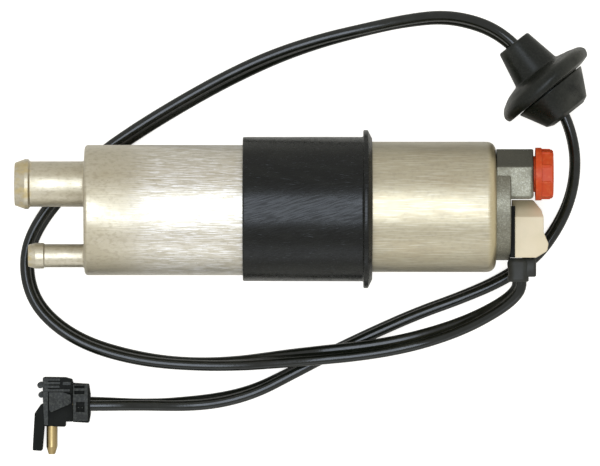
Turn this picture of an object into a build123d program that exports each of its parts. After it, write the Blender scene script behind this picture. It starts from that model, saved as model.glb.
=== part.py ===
"""Inline electric fuel pump with its mounting sleeve and its twin supply lead.

Millimetres. X runs along the pump towards the outlet, Y across it and Z up. The origin is the
centre of the rubber mounting sleeve. The pump lies on the sleeve's flange, so the surface under
it is the plane Z = FLOOR_Z.
"""

from build123d import *

import math
import os

# Clearances
FIT = 0.05  # between a piece and the bore or pocket that it sits in
RUN = 0.02  # radial clearance of a shaft or a rotor that turns
FACE_GAP = 0.03  # between faces that slide past each other
RUBBER_GAP = 0.02  # between rubber and what it grips

# Casings
CASING_R = 21.5
CASING_WALL = 1.3
INLET_AXIS_Y = -0.35  # the two casings are not quite on one axis
MOTOR_AXIS_Y = 0.73
INLET_LENGTH = 69.8
INLET_END_WALL = 2.0
INLET_EDGE_ROUND = 1.2
ROLLED_EDGE_R = 3.0
LIP_THICKNESS = 1.4
CASING_GAP = 0.2  # between a casing's edge and the flange that it meets

# Hose nipples, measured from the inlet housing's closed end
INLET_NIPPLE_Y = 8.25
INLET_NIPPLE_R = 7.5
INLET_NIPPLE_BORE_R = 6.0
INLET_NIPPLE_LENGTH = 23.1
INLET_CREST_R = 8.28
INLET_CREST_LENGTH = 1.1
INLET_CREST_TO_TUBE = 0.6
INLET_CREST_RAMP = 3.4
INLET_TIP_R = 7.05
RETURN_NIPPLE_Y = -15.4
RETURN_NIPPLE_R = 3.84
RETURN_NIPPLE_BORE_R = 2.6
RETURN_NIPPLE_LENGTH = 18.65
RETURN_CREST_R = 4.25
RETURN_CREST_LENGTH = 2.6
RETURN_CREST_TO_TUBE = 0.4
RETURN_CREST_RAMP = 2.45
RETURN_TIP_R = 3.6
TIP_ROUND = 0.3
ROOT_ROUND = 0.8

# Mounting sleeve
SLEEVE_WALL = 2.3
SLEEVE_FLANGE_HEIGHT = 2.3
SLEEVE_LENGTH = 39.75  # of the plain part, up to the flange
SLEEVE_FLANGE_THICKNESS = 2.9
SLEEVE_RIM_THICKNESS = 1.5
SLEEVE_EDGE_ROUND = 0.4

# Pump stack
JOINT_FLANGE = 4.0  # the pump plate's flange, between the two casings
INLET_SPIGOT = 8.0
MOTOR_SPIGOT = 5.0
ROTOR_THICKNESS = 6.0
OUTLET_PLATE_THICKNESS = 5.0
LOBE_CIRCLE_SHARE = 0.633  # of the outer lobes' circle in the radius of the screws' circle
LOBE_SHARE = 0.27  # of a lobe's radius in the radius of the lobes' circle
ECCENTRIC_SHARE = 0.09
OUTER_LOBES = 7
ROTOR_CLEARANCE = 0.06
OUTER_ROTOR_WALL = 2.3
PORT_INNER_INSET = 4.0  # of the ports' edges from the circle of the lobes
PORT_OUTER_INSET = 1.1
PORT_SPAN = 125.0
SCREW_INSET = 4.4  # of the screws' circle from the casing's bore
SCREW_COUNT = 4
SCREW_R = 1.9
SCREW_HEAD_R = 3.2
SCREW_HEAD_HEIGHT = 2.4
SCREW_SOCKET_R = 1.6
SCREW_GRIP = 6.0  # depth of the screw in the inlet plate

# Strainer
STRAINER_LENGTH = 18.0
STRAINER_INSET = 4.6  # from the circle of the relief valve
MESH_THICKNESS = 0.4
STRAINER_RIB = 0.9
STRAINER_RIBS = 6
STRAINER_BASE_THICKNESS = 1.5

# Relief valve, in the inlet plate
RELIEF_INSET = 5.2  # of the valve's axis from the casing's bore
RELIEF_BALL_R = 2.2
RELIEF_SEAT_R = 1.6
RELIEF_BORE_R = 2.9
RELIEF_PLUG_LENGTH = 2.0
RELIEF_SPRING_R = 1.7
RELIEF_BLEED_R = 0.9
RELIEF_SEAT_X = 0.0

# O-rings
O_RING_R = 0.95
O_RING_GROOVE = 2.2  # width of the groove

# Motor
SHAFT_R = 2.5
BUSH_WALL = 1.5
BUSH_LENGTH = 5.0
END_TURN_LENGTH = 3.5
CORE_LENGTH = 20.0
FLUX_RING_WALL = 1.75
AIR_GAP = 0.6
MAGNET_THICKNESS = 4.35
MAGNET_SPAN = 130.0
FLUX_RING_OVERHANG = 2.5
MAGNET_OVERHANG = 1.5
SLOT_COUNT = 8
SLOT_R = 2.3
SLOT_INSET = 3.8  # of the slots' circle from the core's face
SLOT_OPENING = 1.6
WIRE_GAP = 0.1  # insulation between the winding and the slot
WINDING_HUB_R = 5.0
WINDING_INSET = 1.2  # of the end turns from the core's face
WINDING_TO_SCREWS = 2.1  # axial room between the pump's screw heads and the winding
CLIP_THICKNESS = 1.0

# Commutator and brushes
COMMUTATOR_R = 7.5
COMMUTATOR_BAR_THICKNESS = 2.9
COMMUTATOR_LENGTH = 6.8
COMMUTATOR_GAP = 0.6
COMMUTATOR_TO_PLATE = 0.4
BAR_SLIT = 0.5
BRUSH_SIDE = 4.0
BRUSH_LENGTH = 5.5
BRUSH_TUBE_WALL = 1.0
BRUSH_TUBE_INSET = 3.15  # of the brush holder's floor from the casing's bore
BRUSH_SPRING_R = 1.3
BRUSH_PLATE_THICKNESS = 1.5
WIRE_R = 0.25  # wire of the brush springs and the valve springs
SPRING_TURNS = 4

# Outlet cover
COLLAR_INSET = 3.9  # from the casing's surface
COLLAR_LENGTH = 4.7  # from the rolled edge
COVER_FLANGE_THICKNESS = 3.35
COLLAR_EDGE_ROUND = 0.5
BLOCK_LENGTH = 12.0
BLOCK_STAND_OUT = 1.37  # of its top from the collar
BLOCK_TO_PORT = 8.2  # from its top to the port's axis
BLOCK_HEIGHT = 16.4
PORT_AXIS_Z = 5.9
BLOCK_FRONT_Z = 14.3
BLOCK_BACK_Z = -2.5
BLOCK_FACET = 6.0
BLOCK_ROUND = 1.2
PORT_R = 6.0
PORT_DEPTH = 7.8
CHECK_BALL_R = 2.6
CHECK_SEAT_R = 1.9
CHECK_BORE_R = 3.2
CHECK_SEAT_DEPTH = 1.8  # from the cover's inner face
CHECK_SPRING_R = 2.2
RETAINER_THICKNESS = 0.8
RETAINER_HOLE_R = 1.6

# Transport plug
KNOB_R = 8.7
KNOB_RIM = 2.0
KNOB_LENGTH = 5.9
KNOB_SIDES = 9
KNOB_TAPER = 0.5
KNOB_RECESS_R = 5.6
KNOB_RECESS_DEPTH = 3.4
KNOB_STANDOFF = 0.7  # neck that shows between the block and the knob
KNOB_RIB = 0.5
PLUG_END_GAP = 0.6
KNOB_TURN = -9.0  # degrees from +Y of one of its corners

# Electrical connector
TERMINAL_INSET = 7.87  # from the collar's lower side
TERMINAL_SPACING = 7.5
POST_R = 1.6
POST_BUSH_R = 2.6
POST_REACH = 6.2  # of the posts beyond the backing strip
BACKING_THICKNESS = 1.5
BACKING_TOP_INSET = 2.0  # from the housing's top
CONNECTOR_HALF_WIDTH = 8.0
CONNECTOR_INSET = 0.87  # of its lower end from the collar's lower side
CONNECTOR_TO_BLOCK = 0.3
CONNECTOR_DEPTH = 9.4
CONNECTOR_LIP = 0.9  # of its top, over the backing strip's end
CONNECTOR_SLOPE = 3.3  # of its slanted top right corner
CONNECTOR_LEAN = 0.7  # of its right face above the bump
CONNECTOR_BUMP = 1.6
CONNECTOR_BUMP_TOP = 8.4  # heights above its lower end
CONNECTOR_BUMP_MIDDLE = 4.6
CONNECTOR_BUMP_FOOT = 2.2
CONNECTOR_FOOT_INSET = 2.4
CONNECTOR_WALL = 1.5
CONNECTOR_FACET = 5.6
CRIMP_WALL = 0.9
BOOT_HEIGHT = 6.8  # below the housing
BOOT_RIGHT_REACH = 8.4  # from the collar's face
BOOT_LEFT_REACH = 1.2  # beside the collar
BOOT_HALF_WIDTH = 5.2
BOOT_SLEEVE_WIDTH = 6.9
BOOT_SLEEVE_DEPTH = 12.6
BOOT_SLEEVE_ROUND = 2.6
BOOT_SLEEVE_LENGTH = 1.2  # below the boot
BOOT_SPIGOT = 2.5
LEAD_EXIT_X = 70.9

# Twin lead, as a round tube of about the same section
LEAD_R = 2.6
ARC_SHARE = 0.45  # of the shorter run, taken by the arc at its corner

# Grommet: its flange's centre, the direction from there to its narrow end, and its profile
GROMMET_X = 80.1
GROMMET_Y = 41.4
GROMMET_ANGLE = 128.0
GROMMET_FLANGE_R = 17.6
GROMMET_FLANGE_BACK = 2.3
GROMMET_NECK_LENGTH = 17.1
GROMMET_TIP_R = 5.9
GROMMET_NECK_R = 8.7
GROMMET_SLOT = 0.5
GROMMET_SLOT_R = 10.8
GROMMET_BODY_R = 13.1
GROMMET_BODY_LENGTH = 12.6
GROMMET_END_R = 8.3
GROMMET_DOME = 4.4
GROMMET_TIP_ROUND = 0.8
GROMMET_NECK_ROUND = 1.5
GROMMET_DOME_ROUND = 2.5
GROMMET_RIM_ROUND = 1.2
GROMMET_EDGE_ROUND = 0.4
GROMMET_MIDDLE = 2.2  # where the lead's two stretches meet inside it, from the flange's centre
LEAD_STRAIGHT = 12.2  # of the lead inside the grommet, each way from there

# Two-pin plug, in the plane that it lies in
PLUG_LEFT_X = -86.2
PLUG_SPLIT_X = -76.2
PLUG_RIGHT_X = -70.5
PLUG_TOP_Y = -55.7
PLUG_COVER_TOP_Y = -57.7
PLUG_COVER_BOTTOM_Y = -70.6
PLUG_FOOT_Y = -71.9
PLUG_FOOT_X = -78.8
PLUG_THICKNESS = 15.0
PLUG_WALL = 1.6
PIN_R = 1.73
PIN_ROOT_R = 1.5  # of the part held in the plug
PIN_X = -83.3
PIN_SPACING = 8.0
PIN_LENGTH = 9.3
PIN_TAPER = 2.4
PIN_TIP_R = 1.0
CONTACT_R = 1.4  # of the arm that takes a pin's current to the lead
KEY_ARM_WIDTH = 3.1
KEY_ARM_ROOT = 8.0
KEY_ARM_END_Y = -80.0
KEY_ARM_DEPTH = 12.0
KEY_ARM_LEFT_X = -89.6
LEAD_PLUG_Y = -64.6
PLUG_FLAT = 3.2  # half height of the flat face that the lead meets

# Places along the pump, worked out from the sizes above
PLATE_X0 = -JOINT_FLANGE / 2 - INLET_SPIGOT
PLATE_X1 = JOINT_FLANGE / 2 + MOTOR_SPIGOT
RING_X1 = PLATE_X1 + ROTOR_THICKNESS
STACK_X1 = RING_X1 + OUTLET_PLATE_THICKNESS
INLET_OPEN_X = -JOINT_FLANGE / 2 - CASING_GAP
INLET_END_X = INLET_OPEN_X - INLET_LENGTH
MOTOR_OPEN_X = JOINT_FLANGE / 2 + CASING_GAP
WINDING_X0 = STACK_X1 + SCREW_HEAD_HEIGHT + WINDING_TO_SCREWS
CORE_X0 = WINDING_X0 + END_TURN_LENGTH
CORE_X1 = CORE_X0 + CORE_LENGTH
WINDING_X1 = CORE_X1 + END_TURN_LENGTH
COMMUTATOR_X0 = WINDING_X1 + COMMUTATOR_GAP
COMMUTATOR_X1 = COMMUTATOR_X0 + COMMUTATOR_LENGTH
BRUSH_PLATE_X0 = COMMUTATOR_X1 + COMMUTATOR_TO_PLATE
COVER_X0 = BRUSH_PLATE_X0 + BRUSH_PLATE_THICKNESS
LIP_X0 = COVER_X0 + COVER_FLANGE_THICKNESS
MOTOR_END_X = LIP_X0 + LIP_THICKNESS
COLLAR_X1 = MOTOR_END_X + COLLAR_LENGTH
BLOCK_X0 = MOTOR_END_X + CASING_GAP
BLOCK_X1 = BLOCK_X0 + BLOCK_LENGTH
PORT_X0 = BLOCK_X1 - PORT_DEPTH
BACKING_X1 = COLLAR_X1 + BACKING_THICKNESS
CONNECTOR_X1 = BACKING_X1 + CONNECTOR_DEPTH
SLEEVE_X0 = -SLEEVE_LENGTH / 2
SLEEVE_X1 = SLEEVE_LENGTH / 2

# Radii and places across the pump, worked out from the sizes above
BORE_R = CASING_R - CASING_WALL
SEAT_R = BORE_R - FIT
SLEEVE_R = CASING_R + SLEEVE_WALL
SLEEVE_FLANGE_R = SLEEVE_R + SLEEVE_FLANGE_HEIGHT
FLOOR_Z = -SLEEVE_FLANGE_R
COLLAR_R = CASING_R - COLLAR_INSET
COLLAR_BOTTOM_Y = MOTOR_AXIS_Y - COLLAR_R
BLOCK_TOP_Y = MOTOR_AXIS_Y + COLLAR_R + BLOCK_STAND_OUT
BLOCK_BOTTOM_Y = BLOCK_TOP_Y - BLOCK_HEIGHT
PORT_AXIS_Y = BLOCK_TOP_Y - BLOCK_TO_PORT
TERMINAL_Y = COLLAR_BOTTOM_Y + TERMINAL_INSET
CONNECTOR_BOTTOM_Y = COLLAR_BOTTOM_Y + CONNECTOR_INSET
CONNECTOR_TOP_Y = BLOCK_BOTTOM_Y - CONNECTOR_TO_BLOCK
BACKING_TOP_Y = CONNECTOR_TOP_Y - BACKING_TOP_INSET
BOOT_BOTTOM_Y = CONNECTOR_BOTTOM_Y - BOOT_HEIGHT
BOOT_SLEEVE_BOTTOM_Y = BOOT_BOTTOM_Y - BOOT_SLEEVE_LENGTH
SCREW_CIRCLE_R = BORE_R - SCREW_INSET
RELIEF_CIRCLE_R = BORE_R - RELIEF_INSET
STRAINER_R = RELIEF_CIRCLE_R - STRAINER_INSET
LOBE_CIRCLE_R = LOBE_CIRCLE_SHARE * SCREW_CIRCLE_R
LOBE_R = LOBE_SHARE * LOBE_CIRCLE_R
ECCENTRICITY = ECCENTRIC_SHARE * LOBE_CIRCLE_R
PORT_INNER_R = LOBE_CIRCLE_R - PORT_INNER_INSET
PORT_OUTER_R = LOBE_CIRCLE_R - PORT_OUTER_INSET
INNER_LOBES = OUTER_LOBES - 1
ROTOR_POCKET_R = LOBE_CIRCLE_R + 2 * ECCENTRICITY - LOBE_R + ROTOR_CLEARANCE
OUTER_ROTOR_R = ROTOR_POCKET_R + OUTER_ROTOR_WALL
OUTER_ROTOR_Y = MOTOR_AXIS_Y + ECCENTRICITY
BUSH_R = SHAFT_R + BUSH_WALL
MAGNET_OUTER_R = SEAT_R - FLUX_RING_WALL - FIT
MAGNET_R = MAGNET_OUTER_R - MAGNET_THICKNESS
CORE_R = MAGNET_R - AIR_GAP
SLOT_CIRCLE_R = CORE_R - SLOT_INSET
WINDING_R = CORE_R - WINDING_INSET
RELIEF_Y = MOTOR_AXIS_Y - RELIEF_CIRCLE_R
BRUSH_R = COMMUTATOR_R + FIT
BRUSH_X = (COMMUTATOR_X0 + COMMUTATOR_X1) / 2
BRUSH_OUTER_R = BRUSH_R + BRUSH_LENGTH
BRUSH_TUBE_R = BORE_R - BRUSH_TUBE_INSET
BRUSH_SPRING_ROOM = BRUSH_TUBE_R - BRUSH_OUTER_R
GROMMET_Z = FLOOR_Z + GROMMET_FLANGE_R
PLUG_Z = FLOOR_Z + PLUG_THICKNESS / 2

# Places of what the pieces above hold
HOUSING_O_RING_X = (PLATE_X0 - JOINT_FLANGE / 2) / 2
CASING_O_RING_X = (JOINT_FLANGE / 2 + PLATE_X1) / 2
COVER_O_RING_X = (COVER_X0 + LIP_X0) / 2
CHECK_SEAT_X = COVER_X0 + CHECK_SEAT_DEPTH
HEADS_X1 = STACK_X1 + SCREW_HEAD_HEIGHT + FIT


def grommet_place(along):
    """A point on the grommet's axis, at a distance from its flange towards its narrow end."""
    angle = math.radians(GROMMET_ANGLE)
    x = GROMMET_X + along * math.cos(angle)
    return (x, GROMMET_Y + along * math.sin(angle), GROMMET_Z)


# Route of the lead from inside the boot, round the pump's left end, to inside the grommet. It
# crosses over the other stretch near X = 12.
PUMP_STRETCH = [
    (72.3, -20.5, 0.5),
    (69.6, -28.6, -1.5),
    (62.5, -35.6, -8.0),
    (50.0, -40.6, -15.0),
    (31.0, -45.4, -17.3),
    (2.0, -48.8, -17.2),
    (-24.0, -52.0, -22.6),
    (-52.0, -51.6, -23.5),
    (-77.0, -44.8, -23.5),
    (-91.5, -30.5, -23.5),
    (-92.5, -11.5, -23.5),
    (-80.0, 5.5, -23.5),
    (-59.0, 23.0, -23.5),
    (-31.5, 39.5, -23.5),
    (-4.0, 53.5, -23.5),
    (24.0, 61.4, -22.0),
    (47.0, 64.0, -15.5),
    (61.0, 59.3, -10.0),
    grommet_place(GROMMET_MIDDLE + LEAD_STRAIGHT),
    grommet_place(GROMMET_MIDDLE),
]

# Route from there out of the grommet's wide end, under the connector, to the plug
PLUG_STRETCH = [
    grommet_place(GROMMET_MIDDLE),
    grommet_place(GROMMET_MIDDLE - LEAD_STRAIGHT),
    (89.3, 21.9, -10.5),
    (91.0, 9.5, -16.0),
    (86.0, -5.0, -21.8),
    (74.5, -19.0, -23.5),
    (54.0, -28.7, -23.5),
    (24.5, -40.0, -23.5),
    (-1.5, -53.5, -23.5),
    (-21.5, -62.9, -23.5),
    (-46.0, -64.6, -22.0),
    (-61.0, LEAD_PLUG_Y, PLUG_Z),
    (PLUG_RIGHT_X, LEAD_PLUG_Y, PLUG_Z),
]


# Shapes


def outline(points, rounds=()):
    """A flat face in the XY plane. rounds holds pairs of a corner's number and its radius."""
    face = make_face(Polyline(*points, close=True))
    for corner, radius in rounds:
        vertex = face.vertices().sort_by_distance((*points[corner], 0))[0]
        face = fillet(vertex, radius)
    return face


def turned(points, rounds=(), y=0.0, z=0.0):
    """A solid turned about a line along X, from points of place along X and radius."""
    return Pos(0, y, z) * revolve(outline(points, rounds), Axis.X)


def bar(radius, x_start, x_end, y=0.0, z=0.0):
    """A round bar along X."""
    face = Plane((x_start, y, z), x_dir=(0, 1, 0), z_dir=(1, 0, 0)) * Circle(radius)
    return extrude(face, x_end - x_start)


def ring(outer_r, inner_r, x_start, x_end, y=0.0, z=0.0):
    """A plain ring along X."""
    points = [(x_start, inner_r), (x_end, inner_r), (x_end, outer_r), (x_start, outer_r)]
    return turned(points, y=y, z=z)


def sector(outer_r, inner_r, x_start, x_end, middle, span, y=0.0):
    """Part of a ring along X. Angles are in degrees, from +Y towards +Z."""
    points = [(x_start, inner_r), (x_end, inner_r), (x_end, outer_r), (x_start, outer_r)]
    return Pos(0, y, 0) * Rot(middle - span / 2, 0, 0) * revolve(outline(points), Axis.X, span)


def block(low, high):
    """A box between two corners."""
    size = [b - a for a, b in zip(low, high)]
    middle = [(a + b) / 2 for a, b in zip(low, high)]
    return Pos(*middle) * Box(*size)


def slab(points, z_start, z_end, rounds=()):
    """An outline in the XY plane, with a thickness along Z."""
    return Pos(0, 0, z_start) * extrude(outline(points, rounds), z_end - z_start)


def around(count, radius, y=0.0, start=0.0):
    """Places (y, z) evenly spaced on a circle about a line along X."""
    angles = [math.radians(start + 360 * i / count) for i in range(count)]
    return [(y + radius * math.cos(a), radius * math.sin(a)) for a in angles]


def screw_places():
    """Places (y, z) of the pump's screws."""
    return around(SCREW_COUNT, SCREW_CIRCLE_R, MOTOR_AXIS_Y, 180 / SCREW_COUNT)


def spring(start, direction, length, coil_r):
    """A helical spring that takes up the length from start, along direction."""
    wire_centres = length - 2 * WIRE_R
    first = Vector(*start) + Vector(*direction) * WIRE_R
    path = Helix(wire_centres / SPRING_TURNS, wire_centres, coil_r, center=first, direction=direction)
    section = Plane(origin=path @ 0, z_dir=path % 0) * Circle(WIRE_R)
    return sweep(section, path=path, is_frenet=True)


def ball_offset(ball_r, seat_r):
    """How far a ball's centre stands off the round edge that it rests on."""
    return math.sqrt(ball_r**2 - seat_r**2)




# Inlet housing


def nipple(y, tube_r, bore_r, length, crest_r, crest_length, to_tube, ramp, tip_r):
    """A hose nipple with a rounded bead near its tip, standing on the closed end."""
    tip_x = INLET_END_X - length
    crest_x = tip_x + ramp
    foot_r = tube_r + 1.5 * ROOT_ROUND
    points = [
        (tip_x, bore_r),
        (tip_x, tip_r),
        (crest_x, crest_r),
        (crest_x + crest_length, crest_r),
        (crest_x + crest_length + to_tube, tube_r),
        (INLET_END_X, tube_r),
        (INLET_END_X, foot_r),
        (INLET_END_X + INLET_END_WALL / 2, foot_r),
        (INLET_END_X + INLET_END_WALL / 2, bore_r),
    ]
    return turned(points, [(1, TIP_ROUND), (5, ROOT_ROUND)], y)


def inlet_nipple():
    return nipple(
        INLET_NIPPLE_Y,
        INLET_NIPPLE_R,
        INLET_NIPPLE_BORE_R,
        INLET_NIPPLE_LENGTH,
        INLET_CREST_R,
        INLET_CREST_LENGTH,
        INLET_CREST_TO_TUBE,
        INLET_CREST_RAMP,
        INLET_TIP_R,
    )


def return_nipple():
    return nipple(
        RETURN_NIPPLE_Y,
        RETURN_NIPPLE_R,
        RETURN_NIPPLE_BORE_R,
        RETURN_NIPPLE_LENGTH,
        RETURN_CREST_R,
        RETURN_CREST_LENGTH,
        RETURN_CREST_TO_TUBE,
        RETURN_CREST_RAMP,
        RETURN_TIP_R,
    )


def inlet_housing():
    """A drawn cup, closed on the left but for the bores of its two nipples."""
    inner_x = INLET_END_X + INLET_END_WALL
    points = [
        (INLET_END_X, 0),
        (INLET_END_X, CASING_R),
        (INLET_OPEN_X, CASING_R),
        (INLET_OPEN_X, BORE_R),
        (inner_x, BORE_R),
        (inner_x, 0),
    ]
    cup = turned(points, [(1, INLET_EDGE_ROUND), (4, INLET_EDGE_ROUND)], INLET_AXIS_Y)
    cup += inlet_nipple() + return_nipple()
    cup -= bar(INLET_NIPPLE_BORE_R, INLET_END_X - 1, inner_x + 1, INLET_NIPPLE_Y)
    cup -= bar(RETURN_NIPPLE_BORE_R, INLET_END_X - 1, inner_x + 1, RETURN_NIPPLE_Y)
    return cup


# Strainer, on the inlet plate


def strainer_mesh():
    """A cup of fine mesh, closed at its left end."""
    right_x = PLATE_X0
    left_x = right_x - STRAINER_LENGTH
    cup = bar(STRAINER_R, left_x, right_x, MOTOR_AXIS_Y)
    inside_r = STRAINER_R - MESH_THICKNESS
    return cup - bar(inside_r, left_x + MESH_THICKNESS, right_x, MOTOR_AXIS_Y)


def strainer_frame():
    """A base ring, an end disc and ribs round the mesh."""
    outer_r = STRAINER_R + STRAINER_RIB
    left_x = PLATE_X0 - STRAINER_LENGTH
    base_x = PLATE_X0 - STRAINER_BASE_THICKNESS
    frame = ring(outer_r, STRAINER_R, base_x, PLATE_X0, MOTOR_AXIS_Y)
    frame += bar(outer_r, left_x - STRAINER_BASE_THICKNESS, left_x, MOTOR_AXIS_Y)
    rib_span = math.degrees(2 * STRAINER_RIB / outer_r)
    for i in range(STRAINER_RIBS):
        middle = 360 * i / STRAINER_RIBS
        frame += sector(outer_r, STRAINER_R, left_x, base_x, middle, rib_span, MOTOR_AXIS_Y)
    return frame


# Pump stack


def port_cut(x_start, x_end, middle):
    """The kidney-shaped port on one side of the rotors."""
    return sector(PORT_OUTER_R, PORT_INNER_R, x_start, x_end, middle, PORT_SPAN, MOTOR_AXIS_Y)


def o_ring_seat(x):
    """The room of an O-ring's groove: its width and its floor's radius follow the ring."""
    return x - O_RING_GROOVE / 2, x + O_RING_GROOVE / 2, BORE_R - 2 * O_RING_R


def o_ring_groove(x, y):
    start, end, floor_r = o_ring_seat(x)
    return ring(CASING_R, floor_r, start, end, y)


def o_ring(x, y):
    """An O-ring that just fills the room between its groove's floor and the casing's bore."""
    middle_r = BORE_R - O_RING_R
    return Pos(x, y, 0) * Rot(0, 90, 0) * Torus(middle_r, O_RING_R - RUBBER_GAP)


def pump_inlet_plate():
    """The plate that joins both casings, with a shoulder for each on that casing's own axis."""
    half = JOINT_FLANGE / 2
    flange_r = CASING_R - FIT
    plate = bar(SEAT_R, PLATE_X0, -half, INLET_AXIS_Y)
    plate += bar(flange_r, -half, 0, INLET_AXIS_Y)
    plate += bar(flange_r, 0, half, MOTOR_AXIS_Y)
    plate += bar(SEAT_R, half, PLATE_X1, MOTOR_AXIS_Y)
    plate -= o_ring_groove(HOUSING_O_RING_X, INLET_AXIS_Y)
    plate -= o_ring_groove(CASING_O_RING_X, MOTOR_AXIS_Y)
    plate -= bar(BUSH_R, PLATE_X1 - BUSH_LENGTH - 2 * FIT, PLATE_X1, MOTOR_AXIS_Y)
    plate -= port_cut(PLATE_X0, PLATE_X1, -90)
    plate -= bar(RELIEF_BORE_R, PLATE_X0, RELIEF_SEAT_X, RELIEF_Y)
    plate -= bar(RELIEF_SEAT_R, RELIEF_SEAT_X, PLATE_X1, RELIEF_Y)
    for y, z in screw_places():
        plate -= bar(SCREW_R, PLATE_X1 - SCREW_GRIP, PLATE_X1, y, z)
    return plate


def pump_ring():
    """The ring round the rotors, bored off the motor's axis."""
    body = bar(SEAT_R, PLATE_X1, RING_X1, MOTOR_AXIS_Y)
    body -= bar(OUTER_ROTOR_R + RUN, PLATE_X1, RING_X1, OUTER_ROTOR_Y)
    body -= bar(RELIEF_SEAT_R, PLATE_X1, RING_X1, RELIEF_Y)
    for y, z in screw_places():
        body -= bar(SCREW_R + FIT, PLATE_X1, RING_X1, y, z)
    return body


def pump_outlet_plate():
    body = bar(SEAT_R, RING_X1, STACK_X1, MOTOR_AXIS_Y)
    body -= bar(SHAFT_R + 6 * FIT, RING_X1, STACK_X1, MOTOR_AXIS_Y)
    body -= port_cut(RING_X1, STACK_X1, 90)
    body -= bar(RELIEF_SEAT_R, RING_X1, STACK_X1, RELIEF_Y)
    for y, z in screw_places():
        body -= bar(SCREW_R + FIT, RING_X1, STACK_X1, y, z)
    return body


def pump_screw(y, z):
    """A socket-head screw, its head on the outlet plate."""
    head_x = STACK_X1 + SCREW_HEAD_HEIGHT
    body = bar(SCREW_R, PLATE_X1 - SCREW_GRIP, STACK_X1, y, z)
    body += bar(SCREW_HEAD_R, STACK_X1, head_x, y, z)
    face = Plane((head_x, y, z), x_dir=(0, 1, 0), z_dir=(1, 0, 0)) * RegularPolygon(SCREW_SOCKET_R, 6)
    return body - extrude(face, -SCREW_HEAD_HEIGHT / 2)


def pump_screws():
    return Compound(children=[pump_screw(y, z) for y, z in screw_places()])


def inner_rotor_outline():
    """The lobed outline: the path of the outer lobes' centres, offset inwards by a lobe's radius."""
    steps = 12 * INNER_LOBES
    offset = LOBE_R + ROTOR_CLEARANCE
    points = []
    for i in range(steps):
        t = 2 * math.pi * i / steps
        x = LOBE_CIRCLE_R * math.cos(t) + ECCENTRICITY * math.cos(OUTER_LOBES * t)
        y = LOBE_CIRCLE_R * math.sin(t) + ECCENTRICITY * math.sin(OUTER_LOBES * t)
        dx = -LOBE_CIRCLE_R * math.sin(t) - OUTER_LOBES * ECCENTRICITY * math.sin(OUTER_LOBES * t)
        dy = LOBE_CIRCLE_R * math.cos(t) + OUTER_LOBES * ECCENTRICITY * math.cos(OUTER_LOBES * t)
        speed = math.hypot(dx, dy)
        points.append((x - offset * dy / speed, y + offset * dx / speed))
    return make_face(Spline(*points, periodic=True))


def rotor_plane(y):
    return Plane((PLATE_X1 + FACE_GAP, y, 0), x_dir=(0, 1, 0), z_dir=(1, 0, 0))


def inner_rotor():
    """The lobed rotor, pressed on the armature's shaft."""
    body = extrude(rotor_plane(MOTOR_AXIS_Y) * inner_rotor_outline(), ROTOR_THICKNESS - 2 * FACE_GAP)
    return body - bar(SHAFT_R, PLATE_X1, RING_X1, MOTOR_AXIS_Y)


def outer_rotor():
    """The ring that the inner rotor turns, with one lobe more, about an axis beside it."""
    pocket = Circle(ROTOR_POCKET_R)
    for i in range(OUTER_LOBES):
        angle = 2 * math.pi * i / OUTER_LOBES
        centre = (LOBE_CIRCLE_R * math.cos(angle), LOBE_CIRCLE_R * math.sin(angle))
        pocket -= Pos(*centre) * Circle(LOBE_R)
    face = Circle(OUTER_ROTOR_R) - pocket
    return extrude(rotor_plane(OUTER_ROTOR_Y) * face, ROTOR_THICKNESS - 2 * FACE_GAP)


def front_bearing():
    """The sintered bush in the inlet plate."""
    end_x = PLATE_X1 - FIT
    return ring(BUSH_R, SHAFT_R + RUN, end_x - BUSH_LENGTH, end_x, MOTOR_AXIS_Y)


# Relief valve


def relief_ball():
    x = RELIEF_SEAT_X - ball_offset(RELIEF_BALL_R, RELIEF_SEAT_R) - FACE_GAP
    return Pos(x, RELIEF_Y, 0) * Sphere(RELIEF_BALL_R)


def relief_plug():
    """The bush that holds the spring, with a bleed hole."""
    return ring(RELIEF_BORE_R, RELIEF_BLEED_R, PLATE_X0, PLATE_X0 + RELIEF_PLUG_LENGTH, RELIEF_Y)


def relief_spring():
    ball_x = RELIEF_SEAT_X - ball_offset(RELIEF_BALL_R, RELIEF_SEAT_R) - FACE_GAP
    shoulder = ball_offset(RELIEF_BALL_R + WIRE_R, RELIEF_SPRING_R)
    start_x = PLATE_X0 + RELIEF_PLUG_LENGTH + FACE_GAP
    end_x = ball_x - shoulder + WIRE_R - 2 * FACE_GAP
    return spring((start_x, RELIEF_Y, 0), (1, 0, 0), end_x - start_x, RELIEF_SPRING_R)


# Motor


def motor_casing():
    """A tube whose right edge is rolled in over the outlet cover."""
    lip_r = COLLAR_R + 2 * FIT
    points = [
        (MOTOR_OPEN_X, BORE_R),
        (MOTOR_OPEN_X, CASING_R),
        (MOTOR_END_X, CASING_R),
        (MOTOR_END_X, lip_r),
        (LIP_X0 + FIT, lip_r),
        (LIP_X0 + FIT, BORE_R),
    ]
    return turned(points, [(2, ROLLED_EDGE_R)], MOTOR_AXIS_Y)


def flux_ring():
    """The steel ring behind the magnets."""
    start = CORE_X0 - MAGNET_OVERHANG - FLUX_RING_OVERHANG
    end = CORE_X1 + MAGNET_OVERHANG + FLUX_RING_OVERHANG
    return ring(SEAT_R, MAGNET_OUTER_R + FIT, max(start, HEADS_X1), end, MOTOR_AXIS_Y)


def magnet(middle):
    start = CORE_X0 - MAGNET_OVERHANG
    end = CORE_X1 + MAGNET_OVERHANG
    return sector(MAGNET_OUTER_R, MAGNET_R, start, end, middle, MAGNET_SPAN, MOTOR_AXIS_Y)


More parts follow.
